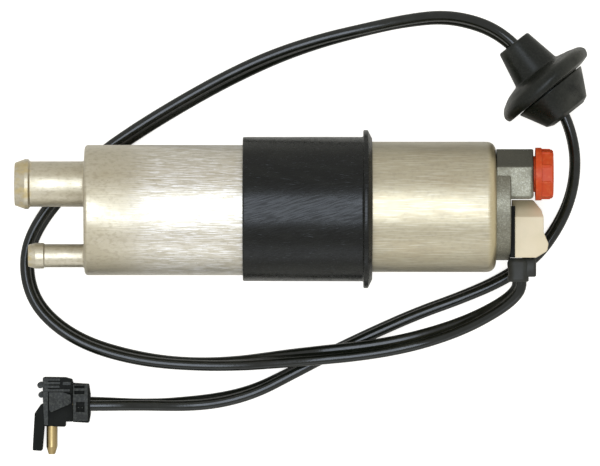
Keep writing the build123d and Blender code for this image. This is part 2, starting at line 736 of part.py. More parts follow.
def magnet_clip(side):
    """The spring strip that spreads the two magnets apart."""
    room = 180 - MAGNET_SPAN
    outer_r = MAGNET_OUTER_R - CLIP_THICKNESS
    inner_r = outer_r - CLIP_THICKNESS
    start = CORE_X0 - MAGNET_OVERHANG
    end = CORE_X1 + MAGNET_OVERHANG
    return sector(outer_r, inner_r, start, end, 90 * side, room, MOTOR_AXIS_Y)


def magnet_clips():
    return Compound(children=[magnet_clip(-1), magnet_clip(1)])


def armature_shaft():
    start = PLATE_X1 - BUSH_LENGTH
    return bar(SHAFT_R, start, COVER_X0 + BUSH_LENGTH, MOTOR_AXIS_Y)


def slot_places():
    return around(SLOT_COUNT, SLOT_CIRCLE_R, MOTOR_AXIS_Y)


def armature_core():
    """The stack of laminations, with round slots that open outwards."""
    core = ring(CORE_R, SHAFT_R, CORE_X0, CORE_X1, MOTOR_AXIS_Y)
    for i, (y, z) in enumerate(slot_places()):
        core -= bar(SLOT_R, CORE_X0, CORE_X1, y, z)
        low = (CORE_X0, SLOT_CIRCLE_R, -SLOT_OPENING / 2)
        high = (CORE_X1, CORE_R + 1, SLOT_OPENING / 2)
        core -= Pos(0, MOTOR_AXIS_Y, 0) * Rot(360 * i / SLOT_COUNT, 0, 0) * block(low, high)
    return core


def armature_winding():
    """The coils: bundles of wire in the slots and the turns at both ends of the core."""
    edge = END_TURN_LENGTH / 2.5
    left = [
        (WINDING_X0, WINDING_HUB_R),
        (WINDING_X0, WINDING_R),
        (CORE_X0 - WIRE_GAP, WINDING_R),
        (CORE_X0 - WIRE_GAP, WINDING_HUB_R),
    ]
    right = [
        (CORE_X1 + WIRE_GAP, WINDING_HUB_R),
        (CORE_X1 + WIRE_GAP, WINDING_R),
        (WINDING_X1, WINDING_R),
        (WINDING_X1, WINDING_HUB_R),
    ]
    coils = turned(left, [(1, edge)], MOTOR_AXIS_Y) + turned(right, [(2, edge)], MOTOR_AXIS_Y)
    for y, z in slot_places():
        coils += bar(SLOT_R - WIRE_GAP, CORE_X0 - 2 * WIRE_GAP, CORE_X1 + 2 * WIRE_GAP, y, z)
    return coils


def commutator_hub():
    """The moulded hub under the copper bars."""
    hub_r = COMMUTATOR_R - COMMUTATOR_BAR_THICKNESS
    return ring(hub_r, SHAFT_R, COMMUTATOR_X0 - FIT, COMMUTATOR_X1, MOTOR_AXIS_Y)


def commutator_bars():
    hub_r = COMMUTATOR_R - COMMUTATOR_BAR_THICKNESS
    span = 360 / SLOT_COUNT - math.degrees(BAR_SLIT / COMMUTATOR_R)
    bars = []
    for i in range(SLOT_COUNT):
        middle = 360 * (i + 0.5) / SLOT_COUNT
        bars.append(sector(COMMUTATOR_R, hub_r, COMMUTATOR_X0, COMMUTATOR_X1, middle, span, MOTOR_AXIS_Y))
    return Compound(children=bars)


def brush_box(half, inner_r, outer_r, side):
    """A square bar along Z through the middle of the commutator, on one side of it."""
    z_low, z_high = sorted((side * inner_r, side * outer_r))
    low = (BRUSH_X - half, MOTOR_AXIS_Y - half, z_low)
    return block(low, (BRUSH_X + half, MOTOR_AXIS_Y + half, z_high))


def brush_plate():
    """The moulded plate with the two brush holders and the openings that let the fuel past."""
    half = BRUSH_SIDE / 2 + FIT
    wall = half + BRUSH_TUBE_WALL
    clear_r = COMMUTATOR_R + 3 * FIT + 1
    plate = ring(SEAT_R, SHAFT_R + 10 * FIT, BRUSH_PLATE_X0, COVER_X0, MOTOR_AXIS_Y)
    for side in (-1, 1):
        z_low, z_high = sorted((side * clear_r, side * (BRUSH_TUBE_R + BRUSH_TUBE_WALL)))
        low = (BRUSH_X - wall, MOTOR_AXIS_Y - wall, z_low)
        plate += block(low, (BRUSH_PLATE_X0, MOTOR_AXIS_Y + wall, z_high))
    for side in (-1, 1):
        plate -= brush_box(half, clear_r, BRUSH_TUBE_R, side)
        plate -= sector(
            SEAT_R - 2 * CASING_WALL,
            BUSH_R + 2 * BUSH_WALL,
            BRUSH_PLATE_X0,
            COVER_X0,
            90 + 90 * side,
            60,
            MOTOR_AXIS_Y,
        )
    for z in terminal_places():
        plate -= bar(POST_R + FIT, BRUSH_PLATE_X0, COVER_X0, TERMINAL_Y, z)
    return plate


def brush(side):
    """A carbon brush with its face worn to the commutator."""
    body = brush_box(BRUSH_SIDE / 2, 0, BRUSH_OUTER_R, side)
    return body - bar(BRUSH_R, BRUSH_X - BRUSH_SIDE, BRUSH_X + BRUSH_SIDE, MOTOR_AXIS_Y)


def brush_spring(side):
    start = (BRUSH_X, MOTOR_AXIS_Y, side * (BRUSH_OUTER_R + FACE_GAP))
    return spring(start, (0, 0, side), BRUSH_SPRING_ROOM - 2 * FACE_GAP, BRUSH_SPRING_R)


def rear_bearing():
    """The sintered bush in the outlet cover."""
    start = COVER_X0 + FIT
    return ring(BUSH_R, SHAFT_R + RUN, start, start + BUSH_LENGTH, MOTOR_AXIS_Y)


# Outlet cover


def port_block():
    """The square block round the outlet port, with one wide facet."""
    facet_y = BLOCK_TOP_Y - BLOCK_FACET
    facet_z = BLOCK_FRONT_Z - BLOCK_FACET
    points = [
        (BLOCK_BOTTOM_Y, BLOCK_BACK_Z),
        (BLOCK_TOP_Y - BLOCK_ROUND, BLOCK_BACK_Z),
        (BLOCK_TOP_Y, BLOCK_BACK_Z + BLOCK_ROUND),
        (BLOCK_TOP_Y, facet_z),
        (facet_y, BLOCK_FRONT_Z),
        (BLOCK_BOTTOM_Y, BLOCK_FRONT_Z),
    ]
    plane = Plane((BLOCK_X0, 0, 0), x_dir=(0, 1, 0), z_dir=(1, 0, 0))
    body = extrude(plane * outline(points, [(5, BLOCK_ROUND)]), BLOCK_LENGTH)
    corner = (BLOCK_X1, BLOCK_BOTTOM_Y, (BLOCK_FRONT_Z + BLOCK_BACK_Z) / 2)
    edge = body.edges().filter_by(Axis.Z).sort_by_distance(corner)[0]
    body = fillet(edge, BLOCK_ROUND)
    end_edges = body.edges().filter_by_position(Axis.X, BLOCK_X1 - FIT, BLOCK_X1 + FIT)
    return fillet(end_edges, COLLAR_EDGE_ROUND)


def outlet_cover():
    """The die-cast cover: a flange inside the casing, the collar and the port block."""
    points = [
        (COVER_X0, 0),
        (COVER_X0, SEAT_R),
        (LIP_X0, SEAT_R),
        (LIP_X0, COLLAR_R),
        (COLLAR_X1, COLLAR_R),
        (COLLAR_X1, 0),
    ]
    cover = turned(points, [(4, COLLAR_EDGE_ROUND)], MOTOR_AXIS_Y)
    cover += port_block()
    cover -= o_ring_groove(COVER_O_RING_X, MOTOR_AXIS_Y)
    cover -= bar(BUSH_R, COVER_X0, COVER_X0 + BUSH_LENGTH + 2 * FIT, MOTOR_AXIS_Y)
    cover -= bar(CHECK_SEAT_R, COVER_X0, CHECK_SEAT_X, PORT_AXIS_Y, PORT_AXIS_Z)
    cover -= bar(CHECK_BORE_R, CHECK_SEAT_X, PORT_X0, PORT_AXIS_Y, PORT_AXIS_Z)
    cover -= bar(PORT_R, PORT_X0, BLOCK_X1, PORT_AXIS_Y, PORT_AXIS_Z)
    for z in terminal_places():
        cover -= bar(POST_BUSH_R, COVER_X0, COLLAR_X1, TERMINAL_Y, z)
    return cover


def check_ball():
    x = CHECK_SEAT_X + ball_offset(CHECK_BALL_R, CHECK_SEAT_R) + FACE_GAP
    return Pos(x, PORT_AXIS_Y, PORT_AXIS_Z) * Sphere(CHECK_BALL_R)


def check_retainer():
    """The ring pressed in behind the valve's spring."""
    start = PORT_X0 - RETAINER_THICKNESS
    return ring(CHECK_BORE_R, RETAINER_HOLE_R, start, PORT_X0, PORT_AXIS_Y, PORT_AXIS_Z)


def check_spring():
    ball_x = CHECK_SEAT_X + ball_offset(CHECK_BALL_R, CHECK_SEAT_R) + FACE_GAP
    shoulder = ball_offset(CHECK_BALL_R + WIRE_R, CHECK_SPRING_R)
    start_x = ball_x + shoulder - WIRE_R + 2 * FACE_GAP
    end_x = PORT_X0 - RETAINER_THICKNESS - FACE_GAP
    return spring((start_x, PORT_AXIS_Y, PORT_AXIS_Z), (1, 0, 0), end_x - start_x, CHECK_SPRING_R)


# Transport plug


def outlet_plug():
    """A hollow knob with nine sides, ribbed at its corners, on a shank that fills the port."""
    shank_x = PORT_X0 + PLUG_END_GAP
    knob_x = BLOCK_X1 + KNOB_STANDOFF
    end_x = knob_x + KNOB_LENGTH
    shank_r = PORT_R - FIT
    body = bar(shank_r, shank_x, knob_x, PORT_AXIS_Y, PORT_AXIS_Z)
    body += bar(KNOB_R, knob_x, knob_x + KNOB_RIM, PORT_AXIS_Y, PORT_AXIS_Z)
    plane = Plane((knob_x, PORT_AXIS_Y, PORT_AXIS_Z), x_dir=(0, 1, 0), z_dir=(1, 0, 0))
    sides = RegularPolygon(KNOB_R - KNOB_RIB, KNOB_SIDES, rotation=KNOB_TURN)
    prism = extrude(plane * sides, KNOB_LENGTH)
    end_edges = prism.edges().filter_by_position(Axis.X, end_x - FIT, end_x + FIT)
    body += chamfer(end_edges, KNOB_TAPER)
    rib_y_z = around(KNOB_SIDES, KNOB_R - 1.5 * KNOB_RIB, PORT_AXIS_Y, KNOB_TURN)
    for y, z in rib_y_z:
        body += bar(KNOB_RIB, knob_x, end_x - 2 * KNOB_TAPER, y, z + PORT_AXIS_Z)
    body -= bar(KNOB_RECESS_R, end_x - KNOB_RECESS_DEPTH, end_x, PORT_AXIS_Y, PORT_AXIS_Z)
    start, end, floor_r = port_o_ring_seat()
    return body - ring(PORT_R, floor_r, start, end, PORT_AXIS_Y, PORT_AXIS_Z)


def port_o_ring_seat():
    x = BLOCK_X1 - PORT_DEPTH / 2
    return x - O_RING_GROOVE / 2, x + O_RING_GROOVE / 2, PORT_R - 2 * O_RING_R


def port_o_ring():
    start, end, _ = port_o_ring_seat()
    place = Pos((start + end) / 2, PORT_AXIS_Y, PORT_AXIS_Z)
    return place * Rot(0, 90, 0) * Torus(PORT_R - O_RING_R, O_RING_R - RUBBER_GAP)


# Connector


def terminal_places():
    return (-TERMINAL_SPACING / 2, TERMINAL_SPACING / 2)


def terminal_posts():
    end = BACKING_X1 + POST_REACH
    posts = [bar(POST_R, BRUSH_PLATE_X0, end, TERMINAL_Y, z) for z in terminal_places()]
    return Compound(children=posts)


def terminal_bushes():
    """The insulating bushes of the posts, through the cover and the backing strip."""
    bushes = []
    for z in terminal_places():
        bushes.append(ring(POST_BUSH_R, POST_R, COVER_X0 + FIT, BACKING_X1, TERMINAL_Y, z))
    return Compound(children=bushes)


def connector_backing():
    low = (COLLAR_X1, CONNECTOR_BOTTOM_Y, -CONNECTOR_HALF_WIDTH)
    strip = block(low, (BACKING_X1, BACKING_TOP_Y, CONNECTOR_HALF_WIDTH))
    for z in terminal_places():
        strip -= bar(POST_BUSH_R, COLLAR_X1, BACKING_X1, TERMINAL_Y, z)
    return strip


def connector_outline():
    """The housing's side: slanted at its top, with a swelling low on its right."""
    top, bottom = CONNECTOR_TOP_Y, CONNECTOR_BOTTOM_Y
    right = CONNECTOR_X1
    points = [
        (BACKING_X1, bottom),
        (BACKING_X1, BACKING_TOP_Y),
        (BACKING_X1 - CONNECTOR_LIP, BACKING_TOP_Y),
        (BACKING_X1 - CONNECTOR_LIP, top),
        (right - CONNECTOR_SLOPE, top),
        (right - CONNECTOR_LEAN, top - CONNECTOR_SLOPE),
        (right, top - CONNECTOR_FACET),
        (right, bottom + CONNECTOR_BUMP_TOP),
        (right + CONNECTOR_BUMP, bottom + CONNECTOR_BUMP_MIDDLE),
        (right + 0.75 * CONNECTOR_BUMP, bottom + CONNECTOR_BUMP_FOOT),
        (right - CONNECTOR_FOOT_INSET, bottom),
    ]
    return points


def connector_housing():
    """The moulded housing, with a facet along its top front and back, open below for the boot."""
    half = CONNECTOR_HALF_WIDTH
    rounds = [(4, 1.2), (6, 1.5), (8, 1.2), (9, 1.2)]
    body = slab(connector_outline(), -half, half, rounds)
    x_low, x_high = BACKING_X1 - 1, CONNECTOR_X1 + 4
    for side in (-1, 1):
        edge = [
            (CONNECTOR_TOP_Y - CONNECTOR_FACET, side * half),
            (CONNECTOR_TOP_Y + 1, side * half),
            (CONNECTOR_TOP_Y + 1, side * (half - CONNECTOR_FACET)),
            (CONNECTOR_TOP_Y, side * (half - CONNECTOR_FACET)),
        ]
        plane = Plane((x_low, 0, 0), x_dir=(0, 1, 0), z_dir=(1, 0, 0))
        body -= extrude(plane * outline(edge), x_high - x_low)
    body -= block(*connector_pocket())
    for z in terminal_places():
        body -= bar(POST_R + FIT, BACKING_X1, BACKING_X1 + 2 * CONNECTOR_WALL, TERMINAL_Y, z)
    return body


def connector_pocket():
    """The room inside the housing for the posts and the boot's spigot."""
    wall = CONNECTOR_WALL
    low = (BACKING_X1 + wall, CONNECTOR_BOTTOM_Y, -CONNECTOR_HALF_WIDTH + wall)
    return low, (CONNECTOR_X1 - 2 * wall, TERMINAL_Y + 3 * wall, CONNECTOR_HALF_WIDTH - wall)


def lead_terminals():
    """The crimped sleeves of the lead, pushed on the posts."""
    start = BACKING_X1 + CONNECTOR_WALL + FIT
    end = BACKING_X1 + POST_REACH
    sleeves = []
    for z in terminal_places():
        sleeves.append(ring(POST_R + CRIMP_WALL, POST_R, start, end, TERMINAL_Y, z))
    return Compound(children=sleeves)


def connector_boot():
    """The rubber boot under the housing, with the flat sleeve that the lead leaves by."""
    left, right = COLLAR_X1 - BOOT_LEFT_REACH, COLLAR_X1 + BOOT_RIGHT_REACH
    under_collar = COLLAR_BOTTOM_Y - 6 * RUBBER_GAP
    top = CONNECTOR_BOTTOM_Y - RUBBER_GAP
    points = [
        (left, BOOT_BOTTOM_Y),
        (left, under_collar),
        (COLLAR_X1 + 2 * FIT, under_collar),
        (COLLAR_X1 + 2 * FIT, top),
        (right, top),
        (right, BOOT_BOTTOM_Y),
    ]
    body = slab(points, -BOOT_HALF_WIDTH, BOOT_HALF_WIDTH, [(0, 0.8), (5, 0.8)])
    half = BOOT_SLEEVE_WIDTH / 2
    low = (LEAD_EXIT_X - half, BOOT_SLEEVE_BOTTOM_Y, -BOOT_SLEEVE_DEPTH / 2)
    high = (LEAD_EXIT_X + half, under_collar, BOOT_SLEEVE_DEPTH / 2)
    sleeve = block(low, high)
    body += fillet(sleeve.edges().filter_by(Axis.Y), BOOT_SLEEVE_ROUND)
    pocket_low, pocket_high = connector_pocket()
    spigot_low = (pocket_low[0] + FIT, top - 1, pocket_low[2] + FIT)
    spigot_high = (pocket_high[0] - FIT, top + BOOT_SPIGOT, pocket_high[2] - FIT)
    return body + block(spigot_low, spigot_high)


# Mounting sleeve


def mounting_sleeve():
    """The rubber sleeve, moulded to sit on both casings, with a flange at its right end."""
    rim_x = SLEEVE_X1 + SLEEVE_RIM_THICKNESS
    end_x = SLEEVE_X1 + SLEEVE_FLANGE_THICKNESS
    points = [
        (SLEEVE_X0, 0),
        (SLEEVE_X0, SLEEVE_R),
        (SLEEVE_X1, SLEEVE_R),
        (SLEEVE_X1, SLEEVE_FLANGE_R),
        (rim_x, SLEEVE_FLANGE_R),
        (end_x, (SLEEVE_R + CASING_R) / 2 + CASING_WALL / 2),
        (end_x, 0),
    ]
    body = turned(points, [(corner, SLEEVE_EDGE_ROUND) for corner in (1, 3, 4)])
    body -= bar(CASING_R + RUBBER_GAP, SLEEVE_X0, 0, INLET_AXIS_Y)
    return body - bar(CASING_R + RUBBER_GAP, 0, end_x, MOTOR_AXIS_Y)


# Lead, grommet and plug


def lead_tube(name, points):
    """A round lead along straight runs joined by arcs as large as the runs allow."""
    corners = [Vector(*point) for point in points]
    radii = []
    for before, corner, after in zip(corners, corners[1:], corners[2:]):
        turn = math.radians((corner - before).get_angle(after - corner))
        shorter = min((corner - before).length, (after - corner).length)
        radii.append(ARC_SHARE * shorter / math.tan(turn / 2))
    path = FilletPolyline(*corners, radius=radii)
    section = Plane(origin=path @ 0, z_dir=path % 0) * Circle(LEAD_R)
    tube = sweep(section, path=path)
    expected = math.pi * LEAD_R**2 * path.length
    print(name, "length", round(path.length, 1), "radii", [round(r, 1) for r in radii])
    print(name, "volume", round(tube.volume), "section times length", round(expected))
    return tube


def on_grommet(solid):
    """Puts a solid made along X on the grommet's axis, its flange at X = 0."""
    return Pos(GROMMET_X, GROMMET_Y, GROMMET_Z) * Rot(0, 0, GROMMET_ANGLE) * solid


def grommet():
    """A turned rubber body: narrow neck, domed flange, panel groove and wide cone."""
    points = [
        (GROMMET_NECK_LENGTH, LEAD_R),
        (GROMMET_NECK_LENGTH, GROMMET_TIP_R),
        (GROMMET_DOME, GROMMET_NECK_R),
        (GROMMET_DOME - 1.2, GROMMET_FLANGE_R - 2.0),
        (0.5, GROMMET_FLANGE_R),
        (-GROMMET_FLANGE_BACK, GROMMET_FLANGE_R),
        (-GROMMET_FLANGE_BACK, GROMMET_SLOT_R),
        (-GROMMET_FLANGE_BACK - GROMMET_SLOT, GROMMET_SLOT_R),
        (-GROMMET_FLANGE_BACK - GROMMET_SLOT, GROMMET_BODY_R),
        (-GROMMET_BODY_LENGTH, GROMMET_END_R),
        (-GROMMET_BODY_LENGTH, LEAD_R),
    ]
    rounds = [
        (1, GROMMET_TIP_ROUND),
        (2, GROMMET_NECK_ROUND),
        (3, GROMMET_DOME_ROUND),
        (4, GROMMET_RIM_ROUND),
        (5, GROMMET_RIM_ROUND),
        (8, GROMMET_EDGE_ROUND),
        (9, GROMMET_RIM_ROUND),
    ]
    return on_grommet(turned(points, rounds))


def plug_levels():
    """Lowest and highest places of the plug's mouldings."""
    return PLUG_Z - PLUG_THICKNESS / 2, PLUG_Z + PLUG_THICKNESS / 2


def plug_pocket(x_start, x_end, y_low, y_high):
    """A room inside the plug, a wall away from its faces."""
    low, high = plug_levels()
    return block((x_start, y_low, low + PLUG_WALL), (x_end, y_high, high - PLUG_WALL))


def pin_places():
    return (PLUG_Z - PIN_SPACING / 2, PLUG_Z + PIN_SPACING / 2)


def key_arm():
    """The long arm beside the pins, that keys the plug."""
    right = KEY_ARM_LEFT_X + KEY_ARM_WIDTH
    points = [
        (KEY_ARM_LEFT_X, KEY_ARM_END_Y),
        (right, KEY_ARM_END_Y),
        (right + 0.7, PLUG_FOOT_Y),
        (right + 0.7, PLUG_FOOT_Y + KEY_ARM_ROOT),
        (PLUG_LEFT_X - 0.6, PLUG_FOOT_Y + 0.87 * KEY_ARM_ROOT),
        (KEY_ARM_LEFT_X + 0.8, PLUG_FOOT_Y + 0.52 * KEY_ARM_ROOT),
    ]
    half = KEY_ARM_DEPTH / 2
    return slab(points, PLUG_Z - half, PLUG_Z + half, [(0, 0.4), (1, 0.4)])


def plug_body():
    """The plug's main moulding: a hollow block with its foot round the pins and its key arm."""
    low, high = plug_levels()
    points = [
        (PLUG_LEFT_X, PLUG_TOP_Y),
        (PLUG_SPLIT_X - 0.6, PLUG_TOP_Y),
        (PLUG_SPLIT_X, PLUG_TOP_Y - 1.2),
        (PLUG_SPLIT_X, PLUG_COVER_BOTTOM_Y),
        (PLUG_FOOT_X, PLUG_COVER_BOTTOM_Y),
        (PLUG_FOOT_X, PLUG_FOOT_Y),
        (PLUG_LEFT_X, PLUG_FOOT_Y),
    ]
    body = slab(points, low, high, [(0, 0.4)]) + key_arm()
    for y, radius in ((PLUG_TOP_Y - 2.6, 1.0), (PLUG_TOP_Y - 5.8, 0.9)):
        body += Pos(PLUG_LEFT_X, y, PLUG_Z) * Cylinder(radius, KEY_ARM_DEPTH)
    room_x = PIN_X + PIN_R / 2
    body -= plug_pocket(room_x, PLUG_SPLIT_X, PLUG_COVER_BOTTOM_Y + PLUG_WALL, PLUG_TOP_Y - PLUG_WALL)
    for z in pin_places():
        body -= pin_bar(PIN_ROOT_R, PLUG_FOOT_Y, LEAD_PLUG_Y + PIN_R, z)
    slot_low = (PLUG_SPLIT_X - 4.0, PLUG_TOP_Y - 4.4, high - 0.8)
    body -= block(slot_low, (PLUG_SPLIT_X - 0.8, PLUG_TOP_Y - 3.4, high))
    return body


def plug_cover():
    """The cover over the lead's end, with a square window and two slots."""
    low, high = plug_levels()
    left = PLUG_SPLIT_X + FIT
    points = [
        (left, PLUG_COVER_TOP_Y),
        (PLUG_RIGHT_X - 0.6, PLUG_COVER_TOP_Y),
        (PLUG_RIGHT_X, LEAD_PLUG_Y + PLUG_FLAT),
        (PLUG_RIGHT_X, LEAD_PLUG_Y - PLUG_FLAT),
        (PLUG_RIGHT_X - 0.6, PLUG_COVER_BOTTOM_Y),
        (left, PLUG_COVER_BOTTOM_Y),
    ]
    body = slab(points, low, high)
    right = PLUG_RIGHT_X - PLUG_WALL
    body -= plug_pocket(left, right, PLUG_COVER_BOTTOM_Y + PLUG_WALL, PLUG_COVER_TOP_Y - PLUG_WALL)
    window_x = (left + right) / 2 + 0.3
    window_y = LEAD_PLUG_Y - 0.4
    body -= block((window_x - 1.4, window_y - 1.6, high - PLUG_WALL), (window_x + 1.4, window_y + 1.6, high))
    for y in (PLUG_COVER_TOP_Y - 1.4, PLUG_COVER_TOP_Y - 3.0):
        body -= block((left + 0.8, y - 0.45, high - 0.7), (right, y + 0.45, high))
    return body


def pin_bar(radius, y_start, y_end, z):
    """A round bar along Y on a pin's axis."""
    face = Plane((PIN_X, y_start, z), x_dir=(1, 0, 0), z_dir=(0, 1, 0)) * Circle(radius)
    return extrude(face, y_end - y_start)


def plug_pin(z):
    """A pin with a tapered tip, and the arm inside the plug that meets the lead."""
    tip_y = PLUG_FOOT_Y - PIN_LENGTH
    top_y = LEAD_PLUG_Y + PIN_R
    points = [
        (tip_y, 0),
        (tip_y, PIN_TIP_R),
        (tip_y + PIN_TAPER, PIN_R),
        (PLUG_FOOT_Y, PIN_R),
        (PLUG_FOOT_Y, PIN_ROOT_R),
        (top_y, PIN_ROOT_R),
        (top_y, 0),
    ]
    body = Pos(PIN_X, 0, z) * Rot(0, 0, 90) * revolve(outline(points), Axis.X)
    return body + bar(CONTACT_R, PIN_X, PLUG_RIGHT_X - PLUG_WALL, LEAD_PLUG_Y, z)


def plug_pins():
    return Compound(children=[plug_pin(z) for z in pin_places()])


NODES = {
    "inlet_housing": inlet_housing,
    "housing_o_ring": lambda: o_ring(HOUSING_O_RING_X, INLET_AXIS_Y),
    "strainer_frame": strainer_frame,
    "strainer_mesh": strainer_mesh,
    "pump_inlet_plate": pump_inlet_plate,
    "relief_ball": relief_ball,
    "relief_spring": relief_spring,
    "relief_plug": relief_plug,
    "front_bearing": front_bearing,
    "pump_ring": pump_ring,
    "inner_rotor": inner_rotor,
    "outer_rotor": outer_rotor,
    "pump_outlet_plate": pump_outlet_plate,
    "pump_screws": pump_screws,
    "casing_o_ring": lambda: o_ring(CASING_O_RING_X, MOTOR_AXIS_Y),
    "motor_casing": motor_casing,
    "flux_ring": flux_ring,
    "magnet_upper": lambda: magnet(0),
    "magnet_lower": lambda: magnet(180),
    "magnet_clips": magnet_clips,
    "armature_shaft": armature_shaft,
    "armature_core": armature_core,
    "armature_winding": armature_winding,
    "commutator_hub": commutator_hub,
    "commutator_bars": commutator_bars,
    "brush_plate": brush_plate,
    "brush_front": lambda: brush(1),
    "brush_back": lambda: brush(-1),
    "brush_spring_front": lambda: brush_spring(1),
    "brush_spring_back": lambda: brush_spring(-1),
    "rear_bearing": rear_bearing,
    "outlet_cover": outlet_cover,
    "cover_o_ring": lambda: o_ring(COVER_O_RING_X, MOTOR_AXIS_Y),
    "check_ball": check_ball,
    "check_spring": check_spring,
    "check_retainer": check_retainer,
    "outlet_plug": outlet_plug,
    "port_o_ring": port_o_ring,
    "terminal_posts": terminal_posts,
    "terminal_bushes": terminal_bushes,
    "connector_backing": connector_backing,
    "connector_housing": connector_housing,
    "lead_terminals": lead_terminals,
    "connector_boot": connector_boot,
    "mounting_sleeve": mounting_sleeve,
    "lead_to_pump": lambda: lead_tube("lead_to_pump", PUMP_STRETCH),
    "lead_to_plug": lambda: lead_tube("lead_to_plug", PLUG_STRETCH),
    "grommet": grommet,
    "plug_body": plug_body,
    "plug_cover": plug_cover,
    "plug_pins": plug_pins,
}


def main():
    os.makedirs("parts", exist_ok=True)
    for node, make in NODES.items():
        export_step(make(), f"parts/{node}.step")


main()
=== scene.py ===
"""Looks of an inline electric fuel pump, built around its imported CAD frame.

X runs along the pump to the outlet, Y across it and Z up from the floor.
"""

from __future__ import annotations

import logging
import math
from collections.abc import Sequence
from dataclasses import dataclass
from enum import Enum
from functools import cache
from typing import ClassVar

import bmesh
import bpy
import numpy as np
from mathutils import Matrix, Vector


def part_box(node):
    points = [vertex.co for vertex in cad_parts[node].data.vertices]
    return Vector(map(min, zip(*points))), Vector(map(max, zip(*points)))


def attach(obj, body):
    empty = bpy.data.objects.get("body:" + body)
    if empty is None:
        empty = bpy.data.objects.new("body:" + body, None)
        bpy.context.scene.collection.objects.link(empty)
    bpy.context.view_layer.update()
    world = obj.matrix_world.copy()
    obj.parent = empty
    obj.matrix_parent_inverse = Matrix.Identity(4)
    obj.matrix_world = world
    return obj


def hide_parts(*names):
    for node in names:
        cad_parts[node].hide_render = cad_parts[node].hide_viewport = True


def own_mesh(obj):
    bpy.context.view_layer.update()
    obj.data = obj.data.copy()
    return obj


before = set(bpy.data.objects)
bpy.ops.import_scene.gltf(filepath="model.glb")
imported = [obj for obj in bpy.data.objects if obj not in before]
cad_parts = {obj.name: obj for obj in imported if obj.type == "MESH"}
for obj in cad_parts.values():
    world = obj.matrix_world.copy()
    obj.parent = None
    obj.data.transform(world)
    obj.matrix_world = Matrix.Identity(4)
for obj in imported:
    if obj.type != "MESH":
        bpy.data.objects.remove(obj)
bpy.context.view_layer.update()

LOG = logging.getLogger("fuel_pump")
MM = 0.001
FLOOR_Z = -26.1
FLOOR_GAP = 0.05
OXIDE_IOR = 1.77
OXIDE_ROUGHNESS = 0.42
GRAIN_STRENGTH = 0.7
EDGE_SAMPLES = 4
BEVEL_SEGMENTS = 3
WHITE = (1.0, 1.0, 1.0, 1.0)

Pair = tuple[float, float]
Place = tuple[float, float, float]
# An outline's corner: two places and the radius of its rounding
Corner = tuple[float, float, float]
Tree = bpy.types.NodeTree
Socket = bpy.types.NodeSocket


# Colours, nodes and finishes


def linear(hex_colour: str) -> tuple[float, float, float, float]:
    """Turns an sRGB hex colour to linear red, green, blue and alpha.

    Args:
        hex_colour: six hex digits, such as "c8bfa8".

    Returns:
        The linear colour with alpha 1.
    """
    srgb = np.array([int(hex_colour[i : i + 2], 16) for i in (0, 2, 4)]) / 255.0
    rgb = np.where(srgb <= 0.04045, srgb / 12.92, ((srgb + 0.055) / 1.055) ** 2.4)
    return (float(rgb[0]), float(rgb[1]), float(rgb[2]), 1.0)


def add_node(
    tree: Tree, kind: str, inputs: dict | None = None, **settings: object
) -> bpy.types.Node:
    """Adds one node with its settings, values and links.

    Args:
        tree: node tree of the material or the world.
        kind: Blender's name of the node's class.
        inputs: socket names or numbers, each with a value or the output socket linked to it.
        **settings: attributes of the node and their values.

    Returns:
        The new node.
    """
    node = tree.nodes.new(kind)
    for name, value in settings.items():
        setattr(node, name, value)
    for name, value in (inputs or {}).items():
        if isinstance(value, Socket):
            tree.links.new(value, node.inputs[name])
        else:
            node.inputs[name].default_value = value
    return node


def empty_tree(owner: bpy.types.Material | bpy.types.World) -> Tree:
    """Turns on the nodes of a material or the world.

    Args:
        owner: the material or the world.

    Returns:
        Its node tree, emptied.
    """
    owner.use_nodes = True
    owner.node_tree.nodes.clear()
    return owner.node_tree


def show(name: str, data: bpy.types.ID) -> bpy.types.Object:
    """Puts a mesh, curve, lamp or camera in the scene.

    Args:
        name: the object's name.
        data: the mesh, curve, lamp or camera.

    Returns:
        The object, at the origin.
    """
    made = bpy.data.objects.new(name, data)
    bpy.context.scene.collection.objects.link(made)
    return made


@dataclass(frozen=True)
class Clouds:
    """A cloudy pattern with spots of a real size.

    Attributes:
        size: length of the spots along X, Y and Z, or one for all, in millimetres.
        low: value of the raw pattern, from 0 to 1, that counts as none.
        high: value that counts as full.
        detail: number of finer layers.
        turn: turn of the pattern about Z, in degrees.
    """

    size: Place | float
    low: float = 0.4
    high: float = 0.65
    detail: float = 4.0
    turn: float = 0.0

    def value(self, tree: Tree, place: Socket, most: float = 1.0) -> Socket:
        """Adds the pattern to a material.

        Args:
            tree: node tree of the material.
            place: output socket with the position.
            most: value where the pattern is full.

        Returns:
            The output socket with the pattern, from 0 to most.
        """
        turning = {"Vector": place, "Rotation": (0.0, 0.0, math.radians(self.turn))}
        place = add_node(tree, "ShaderNodeMapping", turning).outputs[0]
        scaling = {"Vector": place, "Scale": tuple(1 / (np.broadcast_to(self.size, 3) * MM))}
        place = add_node(tree, "ShaderNodeMapping", scaling).outputs[0]
        spots = {"Vector": place, "Scale": 1.0, "Detail": self.detail}
        noise = add_node(tree, "ShaderNodeTexNoise", spots).outputs[0]
        spread = {"Value": noise, "From Min": self.low, "From Max": self.high, "To Max": most}
        return add_node(tree, "ShaderNodeMapRange", spread, clamp=True).outputs[0]


